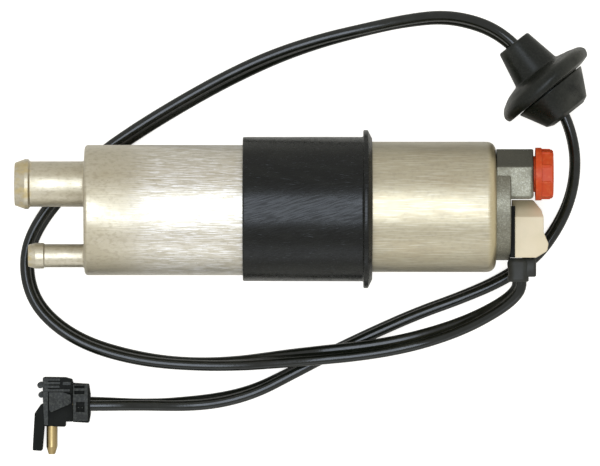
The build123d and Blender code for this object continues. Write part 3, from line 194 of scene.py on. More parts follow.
@dataclass(frozen=True)
class Coat:
    """Marks of one colour that lie cloudily over a finish.

    Attributes:
        colour: six hex digits.
        share: how much of the colour below the marks hide at most, from 0 to 1.
        clouds: the marks' pattern.
        axis: axis along which the marks come in, 0 to 2, or none.
        start: place on that axis where they start, in millimetres.
        full: place where they are full.
    """

    colour: str
    share: float
    clouds: Clouds
    axis: int | None = None
    start: float = 0.0
    full: float = 1.0

    def laid(self, tree: Tree, place: Socket, under: Socket | tuple) -> Socket:
        """Lays the marks over a colour.

        Args:
            tree: node tree of the material.
            place: output socket with the position.
            under: the colour below, or its output socket.

        Returns:
            The output socket with the marked colour.
        """
        share = self.clouds.value(tree, place, self.share)
        if self.axis is not None:
            along = add_node(tree, "ShaderNodeSeparateXYZ", {0: place}).outputs[self.axis]
            ends = {"Value": along, "From Min": self.start * MM, "From Max": self.full * MM}
            smooth = {"clamp": True, "interpolation_type": "SMOOTHSTEP"}
            ramp = add_node(tree, "ShaderNodeMapRange", ends, **smooth).outputs[0]
            times = {0: share, 1: ramp}
            share = add_node(tree, "ShaderNodeMath", times, operation="MULTIPLY").outputs[0]
        colours = {0: share, 6: under, 7: linear(self.colour)}
        return add_node(tree, "ShaderNodeMix", colours, data_type="RGBA").outputs[2]


@dataclass(frozen=True)
class Finish:
    """A real material with its surface, made into one node material.

    Attributes:
        name: the material's name.
        colour: six hex digits.
        roughness: least roughness, from 0 to 1.
        metallic: 1 for bare metal.
        shine: strength of a plastic's reflection, 0.5 for a plain one.
        dulling: how much rougher the dullest spots are.
        dull_clouds: pattern of the dull spots.
        relief: pattern of the surface's grain.
        depth: depth of the grain in millimetres.
        edge: rounding that sharp edges show, in millimetres, 0 for none.
        coats: marks over the colour, from the lowest up.
        film: share of the surface under a clear film of oxide, which reflects the light untinted.
    """

    name: str
    colour: str
    roughness: float
    metallic: float = 0.0
    shine: float = 0.5
    dulling: float = 0.1
    dull_clouds: Clouds = Clouds(6.0)
    relief: Clouds = Clouds(0.5, 0.3, 0.7)
    depth: float = 0.01
    edge: float = 0.0
    coats: tuple[Coat, ...] = ()
    film: float = 0.0

    @cache
    def material(self) -> bpy.types.Material:
        """Makes the node material, once for all the pieces that share it.

        Returns:
            The material.
        """
        made = bpy.data.materials.new(self.name)
        tree = empty_tree(made)
        place = add_node(tree, "ShaderNodeTexCoord").outputs["Object"]
        values = {
            "Metallic": self.metallic,
            "Specular IOR Level": self.shine,
            "Coat Weight": self.film,
            "Coat IOR": OXIDE_IOR,
            "Coat Roughness": OXIDE_ROUGHNESS,
        }
        shader = add_node(tree, "ShaderNodeBsdfPrincipled", values)
        add_node(tree, "ShaderNodeOutputMaterial", {"Surface": shader.outputs[0]})
        colour = linear(self.colour)
        shader.inputs["Base Color"].default_value = colour
        for coat in self.coats:
            colour = coat.laid(tree, place, colour)
            tree.links.new(colour, shader.inputs["Base Color"])
        dull = self.dull_clouds.value(tree, place, self.dulling)
        rough = add_node(tree, "ShaderNodeMath", {0: dull, 1: self.roughness}, operation="ADD")
        tree.links.new(rough.outputs[0], shader.inputs["Roughness"])
        grain = {"Strength": GRAIN_STRENGTH, "Distance": self.depth * MM}
        grain["Height"] = self.relief.value(tree, place)
        bump = add_node(tree, "ShaderNodeBump", grain)
        if self.edge > 0:
            width = {"Radius": self.edge * MM}
            soft = add_node(tree, "ShaderNodeBevel", width, samples=EDGE_SAMPLES)
            tree.links.new(soft.outputs[0], bump.inputs["Normal"])
        tree.links.new(bump.outputs[0], shader.inputs["Normal"])
        LOG.info("made the material %s", self.name)
        return made


# Fine lines that drawing leaves along a tube
DRAW_LINES = Clouds((11.0, 0.34, 0.34), 0.48, 0.57, 5.0)
# Short bright strokes from handling
STROKES = Clouds((4.6, 0.3, 0.3), 0.53, 0.58, 3.0)
# Large uneven stains
STAINS = Clouds((16.0, 7.0, 7.0), 0.42, 0.66, 5.0)
# Small mottled spots
MOTTLE = Clouds((1.6, 1.0, 1.0), 0.48, 0.66)
# A pattern that is full everywhere
EVEN = Clouds(9.0, -1.0, -0.5, 0.0)


class Look(Enum):
    """Finishes by the name of what they are made of."""

    def material(self) -> bpy.types.Material:
        """Gives the finish's node material."""
        return self.value.material()


class Metal(Look):
    """Bare metals of the pump."""

    # Impact-extruded aluminium, oxidised to a warm grey, with bright strokes along the pump
    CUP = Finish(
        "extruded_aluminium", "b0a78f", 0.4, 1.0, dulling=0.14, dull_clouds=STAINS,
        relief=DRAW_LINES, depth=0.02, edge=0.3,
        coats=(
            Coat("9c906f", 0.55, STAINS),
            Coat("8c8063", 0.5, MOTTLE),
            Coat("b6b0a3", 0.35, EVEN, 0, -66.0, -44.0),
            Coat("cec8ba", 0.65, DRAW_LINES, 0, -64.0, -44.0),
            Coat("e8e7e6", 0.65, STROKES, 0, -60.0, -46.0),
            Coat("776e58", 0.55, Clouds(0.5, 0.66, 0.74, 2.0)),
            Coat("b49a42", 0.5, Clouds((3.0, 2.0, 3.0), 0.42, 0.6), 0, -88.8, -90.4),
        ),
        film=1.0,
    )
    # Washed aluminium tube: smooth, with faint clouds and hardly any lines
    TUBE = Finish(
        "tube_aluminium", "a1977a", 0.4, 1.0, dull_clouds=STAINS, relief=MOTTLE, depth=0.004,
        edge=0.2,
        coats=(
            Coat("958664", 0.5, Clouds((22.0, 8.0, 8.0), 0.42, 0.62)),
            Coat("827860", 0.35, MOTTLE),
            Coat("c2bca6", 0.5, Clouds((8.0, 0.4, 0.4), 0.5, 0.66)),
            Coat("b8a878", 0.8, EVEN, 0, 60.2, 62.6),
        ),
        film=1.0,
    )
    # Die-cast aluminium, tumbled: grey with bright specks, and painted shade on the block's upper
    # facet
    CASTING = Finish(
        "die_cast_aluminium", "726f60", 0.42, 0.9, dulling=0.15,
        relief=Clouds(0.4, 0.3, 0.7), depth=0.05, edge=0.25,
        coats=(
            Coat("a9a79a", 0.3, Clouds(0.5, 0.48, 0.64)),
            Coat("55534b", 0.35, Clouds(0.8, 0.54, 0.68)),
            # painted shade: darker from Y 13.3 mm up, where the block's upper facet faces away from
            # the light
            Coat("4b4a42", 0.85, EVEN, 1, 13.3, 14.2),
        ),
    )
    # Free-cutting brass, dulled by handling
    BRASS = Finish(
        "brass", "a18d62", 0.36, 1.0, depth=0.004,
        coats=(Coat("7d6a40", 0.5, Clouds((2.0, 3.0, 2.0), 0.48, 0.7)),),
    )
    # Ground steel of the shaft, balls and springs
    STEEL = Finish("ground_steel", "b4b4b2", 0.26, 1.0, depth=0.002)
    # Punched sheet of the armature's core
    LAMINATION = Finish("lamination_steel", "77777a", 0.42, 1.0, relief=Clouds((0.5, 4.0, 4.0)))
    # Sintered steel of the rotors and plates
    SINTERED = Finish(
        "sintered_steel", "6f6f6c", 0.48, 1.0, relief=Clouds(0.3), depth=0.02,
        coats=(Coat("4c4c49", 0.5, MOTTLE),),
    )
    # Zinc-plated steel of the screws and posts
    ZINC = Finish("zinc_plated_steel", "bdb79c", 0.32, 1.0, coats=(Coat("98916f", 0.4, MOTTLE),))
    # Sintered bronze of the bushes
    BRONZE = Finish("sintered_bronze", "9a7247", 0.45, 1.0, relief=Clouds(0.3))
    # Enamelled copper wire and copper bars
    COPPER = Finish("copper", "b5694a", 0.32, 1.0, coats=(Coat("8a4b30", 0.5, MOTTLE),))
    # Hard ferrite of the magnets, matt and dark
    FERRITE = Finish("ferrite", "3a3a3d", 0.55, depth=0.02)
    # Pressed carbon of the brushes
    CARBON = Finish("carbon", "2b2b2c", 0.5, depth=0.02)


class Soft(Look):
    """Rubbers, plastics and fabric of the pump."""

    # Moulded rubber of the sleeve: near black, with a broad cool sheen and fine pale scratches
    SLEEVE = Finish(
        "sleeve_rubber", "0a0b07", 0.23, shine=0.22, dulling=0.18,
        dull_clouds=Clouds((5.0, 0.36, 0.36), 0.44, 0.62, 5.0, -17.0),
        relief=Clouds((0.6, 0.45, 0.45), 0.3, 0.7), depth=0.012,
        coats=(
            Coat("171813", 0.6, Clouds((9.0, 3.0, 3.0), 0.45, 0.65)),
            Coat("54575a", 0.5, Clouds((8.0, 0.24, 0.24), 0.66, 0.71, 3.0, 9.0)),
            Coat("54575a", 0.4, Clouds((6.0, 0.22, 0.22), 0.67, 0.72, 3.0, -14.0)),
            Coat("77797b", 0.5, Clouds(0.35, 0.74, 0.8, 2.0)),
        ),
    )
    # Softer rubber of the grommet, matt and slightly brown, lighter in cloudy patches towards both
    # ends along X
    GROMMET = Finish(
        "grommet_rubber", "10120b", 0.27, shine=0.22, dulling=0.16,
        relief=Clouds(0.6, 0.3, 0.7), depth=0.012,
        coats=(
            Coat("2a2b24", 0.4, Clouds(0.7, 0.44, 0.66)),
            Coat("5a584e", 0.4, Clouds(9.0, 0.4, 0.6, 5.0), 0, 82.0, 92.0),
            Coat("4c4b42", 0.4, Clouds(7.0, 0.4, 0.6, 5.0), 0, 72.0, 66.0),
        ),
    )
    # Rubber of the boot, dark with a faint bloom
    BOOT = Finish(
        "boot_rubber", "2d2c26", 0.45, shine=0.22, relief=Clouds(0.4, 0.3, 0.7),
        coats=(Coat("3a3c37", 0.5, Clouds(3.0, 0.4, 0.7, 3.0)),),
    )
    # Nitrile rubber of the seals
    SEAL = Finish("seal_rubber", "1c1c1c", 0.45, shine=0.3)
    # Plasticised PVC jacket of the lead: smooth and shiny, with faint flow marks
    JACKET = Finish(
        "pvc_jacket", "12140d", 0.13, shine=0.34, relief=Clouds(1.5, 0.3, 0.7, 3.0),
        depth=0.012,
        coats=(Coat("23251f", 0.5, Clouds(5.0, 0.45, 0.65)),),
    )
    # Glass-filled nylon of the plug: grainy, dark grey, duller on its edges
    NYLON_BLACK = Finish(
        "black_nylon", "1e1f1a", 0.42, shine=0.2, relief=Clouds(0.6, 0.3, 0.7),
        depth=0.06, edge=0.15,
        coats=(
            Coat("42433b", 0.6, Clouds(0.8, 0.47, 0.6)),
            Coat("151611", 0.6, Clouds(3.0, 0.5, 0.7)),
        ),
    )
    # The same nylon where the mould was polished: smooth, and darker as painted shade in recesses
    NYLON_SMOOTH_SHADED = Finish("smooth_black_nylon_shaded", "141511", 0.55, shine=0.08, edge=0.15)
    # Nylon of the connector: cream, its upper end painted darker tan as shade
    NYLON_CREAM = Finish(
        "cream_nylon", "e6d3ad", 0.42, shine=0.42, relief=Clouds(0.8, 0.3, 0.7), edge=0.6,
        coats=(
            Coat("d9caa2", 0.3, Clouds(3.5, 0.46, 0.66)),
            # painted shade: darker tan towards the housing's upper end
            Coat("b5a57c", 0.6, EVEN, 1, -1.6, 1.6),
        ),
    )
    # Polyethylene of the transport plug: waxy orange red
    POLYETHYLENE = Finish(
        "red_polyethylene", "cc4612", 0.42, shine=0.26, relief=Clouds(0.8, 0.3, 0.7),
        depth=0.012, edge=0.25,
        coats=(
            Coat("d8652f", 0.5, Clouds(1.2, 0.5, 0.66)),
            Coat("c04420", 0.3, Clouds(2.5, 0.5, 0.68)),
        ),
    )
    # Brown phenolic moulding inside the pump
    PHENOLIC = Finish("brown_phenolic", "5c4330", 0.45, coats=(Coat("452f20", 0.5, MOTTLE),))
    # Woven nylon of the strainer, its mesh too fine to show
    FILTER = Finish("filter_fabric", "d8d5c4", 0.75, relief=Clouds(0.3), depth=0.05)


# Surfaces


def unit(rows: np.ndarray) -> np.ndarray:
    """Scales a direction, or each row of directions, to length 1."""
    return rows / np.linalg.norm(rows, axis=-1, keepdims=True)


def full_turn(count: int) -> np.ndarray:
    """Gives evenly spaced angles from 0 up to a full turn, which isn't repeated, in radians."""
    return np.linspace(0, 2 * math.pi, count, endpoint=False)

def box_corners(x: Pair, y: Pair, third: float) -> list[Corner]:
    """Lists a rectangle's corners in order, with a rounding or a height as their third value."""
    return [(x[0], y[0], third), (x[1], y[0], third), (x[1], y[1], third), (x[0], y[1], third)]


def rounded(corners: Sequence[Corner], steps: int = 6) -> np.ndarray:
    """Rounds the corners of a closed outline.

    At each corner the arc starts and ends where its radius over the tangent of half the corner's
    angle puts it on the two sides, and its points turn evenly about the arc's centre.

    Args:
        corners: two places and the rounding's radius of each corner, 0 for a sharp one.
        steps: points on each arc.

    Returns:
        Points in order, one row each.
    """
    table = np.array(corners, float)
    here, radius = table[:, :2], np.maximum(table[:, 2], 1e-3)
    before = unit(np.roll(here, 1, axis=0) - here)
    after = unit(np.roll(here, -1, axis=0) - here)
    half = 0.5 * np.arccos(np.clip((before * after).sum(1), -0.999999, 0.999999))
    reach = (radius / np.tan(half))[:, None]
    centre = here + unit(before + after) * (radius / np.sin(half))[:, None]
    first, last = here + before * reach - centre, here + after * reach - centre
    turn = (math.pi - 2 * half)[:, None, None]
    share = np.linspace(0, 1, steps)[None, :, None]
    arcs = np.sin((1 - share) * turn) * first[:, None] + np.sin(share * turn) * last[:, None]
    return (centre[:, None] + arcs / np.sin(turn)).reshape(-1, 2)


@dataclass
class Shell:
    """One closed surface.

    Attributes:
        points: rows of X, Y and Z in millimetres.
        faces: point numbers of each face.
        skin: number of the piece's finish that it has.
    """

    points: np.ndarray
    faces: list[list[int]]
    skin: int = 0


def grid_shell(points: np.ndarray, wrap_rows: bool = False, cap_ends: bool = False) -> Shell:
    """Joins a grid of points, whose columns go round, to a surface.

    Args:
        points: array of rows, columns and 3; each row is one loop round the piece.
        wrap_rows: whether the last row joins the first.
        cap_ends: whether the first and last loops are closed with a flat face.

    Returns:
        The surface.
    """
    rows, columns = points.shape[:2]
    numbers = np.arange(rows * columns).reshape(rows, columns)
    start = numbers if wrap_rows else numbers[:-1]
    next_row = np.roll(numbers, -1, axis=0) if wrap_rows else numbers[1:]
    quads = np.stack(
        [start, np.roll(start, -1, axis=1), np.roll(next_row, -1, axis=1), next_row], axis=-1
    )
    faces = quads.reshape(-1, 4).tolist()
    if cap_ends:
        faces += [numbers[0][::-1].tolist(), numbers[-1].tolist()]
    return Shell(points.reshape(-1, 3), faces)


def turned(
    profile: np.ndarray, centre: Place, sides: int, direction: Place = (1.0, 0.0, 0.0)
) -> Shell:
    """Turns a closed profile about an axis: each point goes round a circle of its own radius.

    Args:
        profile: rows of distance along the axis and radius, the last joined to the first.
        centre: the axis's point at distance 0.
        sides: points round each circle.
        direction: the axis's direction.

    Returns:
        The surface, a ring with a hole along its axis.
    """
    axis = unit(np.array(direction, float))
    across = unit(np.cross((0.0, 0.0, 1.0), axis))
    up = np.cross(axis, across)
    angle = full_turn(sides)
    ring = np.cos(angle)[:, None] * across + np.sin(angle)[:, None] * up
    points = np.array(centre) + profile[:, :1, None] * axis + profile[:, 1:, None] * ring
    return grid_shell(points, wrap_rows=True)


def prism(outline: np.ndarray, low: float, high: float, skin: int = 0) -> Shell:
    """Carries a flat outline straight up and closes both ends.

    Args:
        outline: rows of X and Y.
        low: height of the lower face.
        high: height of the upper face.
        skin: number of the piece's finish.

    Returns:
        The surface.
    """
    level = np.array([low, high])[:, None, None] * np.ones((2, len(outline), 1))
    flat = np.broadcast_to(outline, (2, *outline.shape))
    sides = grid_shell(np.concatenate([flat, level], axis=2), cap_ends=True)
    return Shell(sides.points, sides.faces, skin)


def pierced(
    x_edges: tuple[float, ...],
    y_edges: tuple[float, ...],
    holes: tuple[tuple[int, int], ...],
    low: float,
    high: float,
) -> Shell:
    """Makes a flat plate with square holes, out of the cells of an uneven grid.

    Each cell that isn't a hole has a face above and one below, and a wall stands wherever a cell
    borders a hole or the outside.

    Args:
        x_edges: places of the cells' edges along X.
        y_edges: places of the cells' edges along Y.
        holes: column and row of each open cell.
        low: height of the lower face.
        high: height of the upper face.

    Returns:
        The surface.
    """
    solid = np.ones((len(x_edges) - 1, len(y_edges) - 1), bool)
    solid[tuple(np.array(holes).T)] = False
    x, y = np.meshgrid(x_edges, y_edges, indexing="ij")
    flat = np.column_stack([x.ravel(), y.ravel()])
    points = np.vstack([np.insert(flat, 2, z, axis=1) for z in (low, high)])
    number = np.arange(x.size).reshape(x.shape)
    cells = np.stack([number[:-1, :-1], number[1:, :-1], number[1:, 1:], number[:-1, 1:]], axis=-1)
    around = np.pad(solid, 1)
    across_x = around[1:, 1:-1] != around[:-1, 1:-1]
    across_y = around[1:-1, 1:] != around[1:-1, :-1]
    along_y = np.stack([number[:, :-1][across_x], number[:, 1:][across_x]], axis=-1)
    along_x = np.stack([number[:-1][across_y], number[1:][across_y]], axis=-1)
    edges = np.vstack([along_y, along_x])
    walls = np.hstack([edges, edges[:, ::-1] + x.size])
    faces = np.vstack([cells[solid][:, ::-1], cells[solid] + x.size, walls])
    return Shell(points, faces.tolist())


def make_piece(
    name: str,
    shells: list[Shell],
    looks: Look | tuple[Look, ...],
    smooth_under: float,
    edge: float = 0.0,
) -> bpy.types.Object:
    """Makes one object of one or more surfaces.

    Args:
        name: the object's name.
        shells: its surfaces.
        looks: its finish, or one for each skin number.
        smooth_under: edges flatter than this angle, in degrees, are shaded smooth.
        edge: width of the rounding on its sharp edges in millimetres, 0 for none.

    Returns:
        The object, at the origin.
    """
    offsets = np.cumsum([0] + [len(shell.points) for shell in shells[:-1]])
    points = np.vstack([shell.points for shell in shells]) * MM
    faces = [
        [number + int(offset) for number in face]
        for shell, offset in zip(shells, offsets)
        for face in shell.faces
    ]
    mesh = bpy.data.meshes.new(name)
    mesh.from_pydata(points.tolist(), [], faces)
    skins = np.repeat([shell.skin for shell in shells], [len(shell.faces) for shell in shells])
    mesh.polygons.foreach_set("material_index", skins.astype(np.int32))
    work = bmesh.new()
    work.from_mesh(mesh)
    bmesh.ops.remove_doubles(work, verts=work.verts, dist=1e-7)
    bmesh.ops.recalc_face_normals(work, faces=work.faces)
    work.to_mesh(mesh)
    work.free()
    mesh.shade_smooth()
    mesh.set_sharp_from_angle(angle=math.radians(smooth_under))
    for look in looks if isinstance(looks, tuple) else (looks,):
        mesh.materials.append(look.material())
    piece = show(name, mesh)
    if edge > 0:
        bevel = piece.modifiers.new("edge_round", "BEVEL")
        bevel.width = edge * MM
        bevel.segments = BEVEL_SEGMENTS
        bevel.limit_method = "ANGLE"
        bevel.angle_limit = math.radians(smooth_under)
    LOG.info("made %s: %d points, %d faces", name, len(mesh.vertices), len(mesh.polygons))
    return piece


def refined(outline: np.ndarray, step: float) -> np.ndarray:
    """Adds evenly spaced points on the long sides of a closed outline.

    Args:
        outline: rows of points, the last joined to the first.
        step: longest distance from one point to the next.

    Returns:
        Points in order, one row each.
    """
    side = np.roll(outline, -1, axis=0) - outline
    counts = np.maximum(1, np.ceil(np.linalg.norm(side, axis=1) / step).astype(int))
    share = np.concatenate([np.arange(count) / count for count in counts])[:, None]
    return np.repeat(outline, counts, axis=0) + share * np.repeat(side, counts, axis=0)


def even_out(values: np.ndarray, reach: int) -> np.ndarray:
    """Replaces each value by the mean of those within the reach on either side."""
    share = np.ones(2 * reach + 1) / (2 * reach + 1)
    return np.convolve(np.pad(values, reach, mode="edge"), share, "valid")


def node_box(name: str) -> tuple[np.ndarray, np.ndarray]:
    """Gives a CAD node's lowest and highest corners in millimetres."""
    low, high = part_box(name)
    return np.array(low) / MM, np.array(high) / MM


# Sub-assemblies


@dataclass
class SubAssembly:
    """Pieces that belong together, some kept from the CAD frame and some modelled here.

    Attributes:
        body: CAD body that the modelled pieces ride on.
        finishes: finish of each CAD node that shows as it is.
    """

    body: str = "pump"
    finishes: ClassVar[dict[str, Look]] = {}

    def dress(self) -> None:
        """Gives the group's CAD nodes their finishes."""
        for name, look in self.finishes.items():
            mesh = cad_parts[name].data
            mesh.materials.clear()
            mesh.materials.append(look.material())
            LOG.info("dressed %s with %s", name, look.value.name)

    def seat(self, piece: bpy.types.Object, slot: str, *nodes: str) -> None:
        """Puts a modelled piece on the group's body in place of CAD nodes.

        Args:
            piece: the modelled piece.
            slot: the record's material slot; not used.
            *nodes: names of the CAD nodes it stands for.
        """
        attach(piece, self.body)
        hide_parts(*nodes)

    def build(self) -> None:
        """Makes the group: here only its dressed CAD nodes."""
        self.dress()


@dataclass
class InletEnd(SubAssembly):
    """Extruded inlet housing with its two nipples, and the strainer inside."""

    finishes: ClassVar[dict[str, Look]] = {
        "inlet_housing": Metal.CUP,
        "strainer_frame": Soft.PHENOLIC,
        "strainer_mesh": Soft.FILTER,
    }


@dataclass
class PumpStage(SubAssembly):
    """Gerotor stage with its plates, bush, screws and relief valve."""

    finishes: ClassVar[dict[str, Look]] = {
        "pump_inlet_plate": Metal.CASTING,
        "relief_ball": Metal.STEEL,
        "relief_plug": Metal.BRASS,
        "front_bearing": Metal.BRONZE,
        "pump_ring": Metal.SINTERED,
        "inner_rotor": Metal.SINTERED,
        "outer_rotor": Metal.SINTERED,
        "pump_outlet_plate": Metal.SINTERED,
        "pump_screws": Metal.ZINC,
    }


@dataclass
class Motor(SubAssembly):
    """Motor casing with the magnets, the armature and the brushes inside."""

    finishes: ClassVar[dict[str, Look]] = {
        "motor_casing": Metal.TUBE,
        "flux_ring": Metal.STEEL,
        "magnet_upper": Metal.FERRITE,
        "magnet_lower": Metal.FERRITE,
        "magnet_clips": Metal.STEEL,
        "armature_shaft": Metal.STEEL,
        "armature_core": Metal.LAMINATION,
        "armature_winding": Metal.COPPER,
        "commutator_hub": Soft.PHENOLIC,
        "commutator_bars": Metal.COPPER,
        "brush_plate": Soft.PHENOLIC,
        "brush_front": Metal.CARBON,
        "brush_back": Metal.CARBON,
        "rear_bearing": Metal.BRONZE,
    }


@dataclass
class OutletEnd(SubAssembly):
    """Die-cast outlet cover with its valve, and the transport plug in its port."""

    finishes: ClassVar[dict[str, Look]] = {
        "outlet_cover": Metal.CASTING,
        "check_ball": Metal.STEEL,
        "check_retainer": Metal.BRASS,
        "outlet_plug": Soft.POLYETHYLENE,
    }


@dataclass
class Seal(SubAssembly):
    """One round sealing ring, as wide along X as its CAD node.

    Attributes:
        node: name of the CAD node it stands for.
        cord_points: points round its section.
        sides: points round the ring.
    """

    node: str = "port_o_ring"
    cord_points: int = 20
    sides: int = 96

    def build(self) -> None:
        """Turns a circle about the ring's axis: distance and radius follow its cosine and sine."""
        low, high = node_box(self.node)
        cord_r = (high[0] - low[0]) / 2
        ring_r = (high[2] - low[2]) / 2 - cord_r
        angle = full_turn(self.cord_points)
        profile = np.column_stack([cord_r * np.cos(angle), ring_r + cord_r * np.sin(angle)])
        shell = turned(profile, tuple((low + high) / 2), sides=self.sides)
        piece = make_piece(f"{self.node}_moulded", [shell], Soft.SEAL, smooth_under=60.0)
        self.seat(piece, "seal_rubber", self.node)


@dataclass
class CoilSpring(SubAssembly):
    """A spring that its ball or brush presses together, as long and wide as its CAD node.

    Attributes:
        node: name of the CAD node it stands for.
        joint: joint of the piece that presses it; not used.
        axis: number of the axis it lies along, 0 to 2.
        fixed: 1 if its fixed end is the higher one on that axis, 0 if the lower; not used.
        travel: how far it is pressed together at the joint's limit; not used.
        wire_r: radius of its wire.
        turns: number of its turns.
        steps: points along each turn.
        sides: points round the wire.
    """

    node: str = "check_spring"
    joint: str = "check_valve_lift"
    axis: int = 0
    fixed: int = 1
    travel: float = 1.2
    wire_r: float = 0.25
    turns: int = 4
    steps: int = 40
    sides: int = 12

    def build(self) -> None:
        """Carries the wire's round section along a helix.

        A point is the axis's point at a share of the length, plus the coil's radius in the
        direction of the turned angle, plus the wire's radius in that direction and along the axis.
        """
        low, high = node_box(self.node)
        along, first, second = np.roll(np.eye(3), -self.axis, axis=0)
        coil_r = (high - low)[(self.axis + 1) % 3] / 2 - self.wire_r
        count = self.steps * self.turns + 1
        turn = np.linspace(0, 2 * math.pi * self.turns, count)[:, None, None]
        share = turn / turn[-1]
        length = (high - low)[self.axis]
        place = low[self.axis] + self.wire_r + share * (length - 2 * self.wire_r)
        round_it = full_turn(self.sides)[None, :, None]
        outward = np.cos(turn) * first + np.sin(turn) * second
        centre = (low + high) / 2 * (1 - along)
        points = (
            centre
            + (coil_r + self.wire_r * np.cos(round_it)) * outward
            + (place + self.wire_r * np.sin(round_it)) * along
        )
        shell = grid_shell(points, cap_ends=True)
        piece = make_piece(f"{self.node}_coil", [shell], Metal.STEEL, smooth_under=50.0)
        self.seat(piece, "steel", self.node)
        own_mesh(piece)


@dataclass
class MountingSleeve(SubAssembly):
    """Rubber sleeve over the joint of the two casings, with a flange at its outlet end.

    Attributes:
        flange_height: of the flange above the sleeve.
        flange_length: of the flange along X, with its slanted side.
        rim_length: of the flange's rim.
        bore_r: inner radius on a casing.
        joint_r: inner radius over the joint, where the casings' axes don't meet.
        axis_y: places of the two casings' axes.
        swell: distance from the joint over which the bore swells.
        step: distance from the joint over which the bore's centre moves.
        bore_wall: height over the bore that still moves with it.
        toe: how far below the skin the flange's slanted side ends.
        wave: height of the slow waves in the outer skin.
        waves: lobes round the sleeve and length along X of each wave.
    """

    flange_height: float = 2.3
    flange_length: float = 2.9
    rim_length: float = 1.5
    bore_r: float = 21.62
    joint_r: float = 22.1
    axis_y: tuple[float, float] = (-0.35, 0.73)
    swell: float = 3.0
    step: float = 1.5
    bore_wall: float = 0.3
    toe: float = 0.5
    wave: float = 0.05
    waves: tuple[Pair, ...] = ((2, 9.0), (5, -6.0), (9, 4.0))

    def profile(self) -> np.ndarray:
        """Draws the sleeve's closed section.

        Returns:
            Rows of the place along X and the radius.
        """
        low, high = node_box("mounting_sleeve")
        flange_r = (high[2] - low[2]) / 2
        outer_r = flange_r - self.flange_height
        flange_x = high[0] - self.flange_length
        corners = [
            (low[0], self.bore_r, 0.25),
            (low[0], outer_r, 0.5),
            (flange_x, outer_r, 0.5),
            (flange_x, flange_r, 0.45),
            (flange_x + self.rim_length, flange_r, 0.5),
            (high[0], outer_r - self.toe, 0.4),
            (high[0], self.bore_r, 0.25),
        ]
        return refined(rounded(corners), step=1.0)

    def build(self) -> None:
        """Turns the section about X, then moves its points.

        The bore's centre goes smoothly from one casing's axis to the other over the joint, where
        its radius swells, and the outer skin waves slowly with the angle and the place along X.
        """
        profile = self.profile()
        shell = turned(profile, (0.0, 0.0, 0.0), sides=180)
        points = shell.points.reshape(len(profile), -1, 3)
        x, y, z = points[..., 0], points[..., 1], points[..., 2]
        inside = profile[:, 1:] < self.bore_r + self.bore_wall
        over_joint = np.exp(-((x / self.swell) ** 2))
        grown = 1 + over_joint * (self.joint_r / self.bore_r - 1)
        share = 0.5 + 0.5 * np.tanh(x / self.step)
        shift = self.axis_y[0] + share * (self.axis_y[1] - self.axis_y[0])
        angle = np.arctan2(z, y)
        wave = sum(np.sin(lobes * angle + x / length) for lobes, length in self.waves)
        waved = 1 + self.wave / len(self.waves) * wave / self.bore_r
        points[..., 1] = np.where(inside, y * grown + shift, y * waved)
        points[..., 2] = np.where(inside, z * grown, z * waved)
        piece = make_piece("rubber_sleeve", [shell], Soft.SLEEVE, smooth_under=30.0)
        self.seat(piece, "black_rubber", "mounting_sleeve")


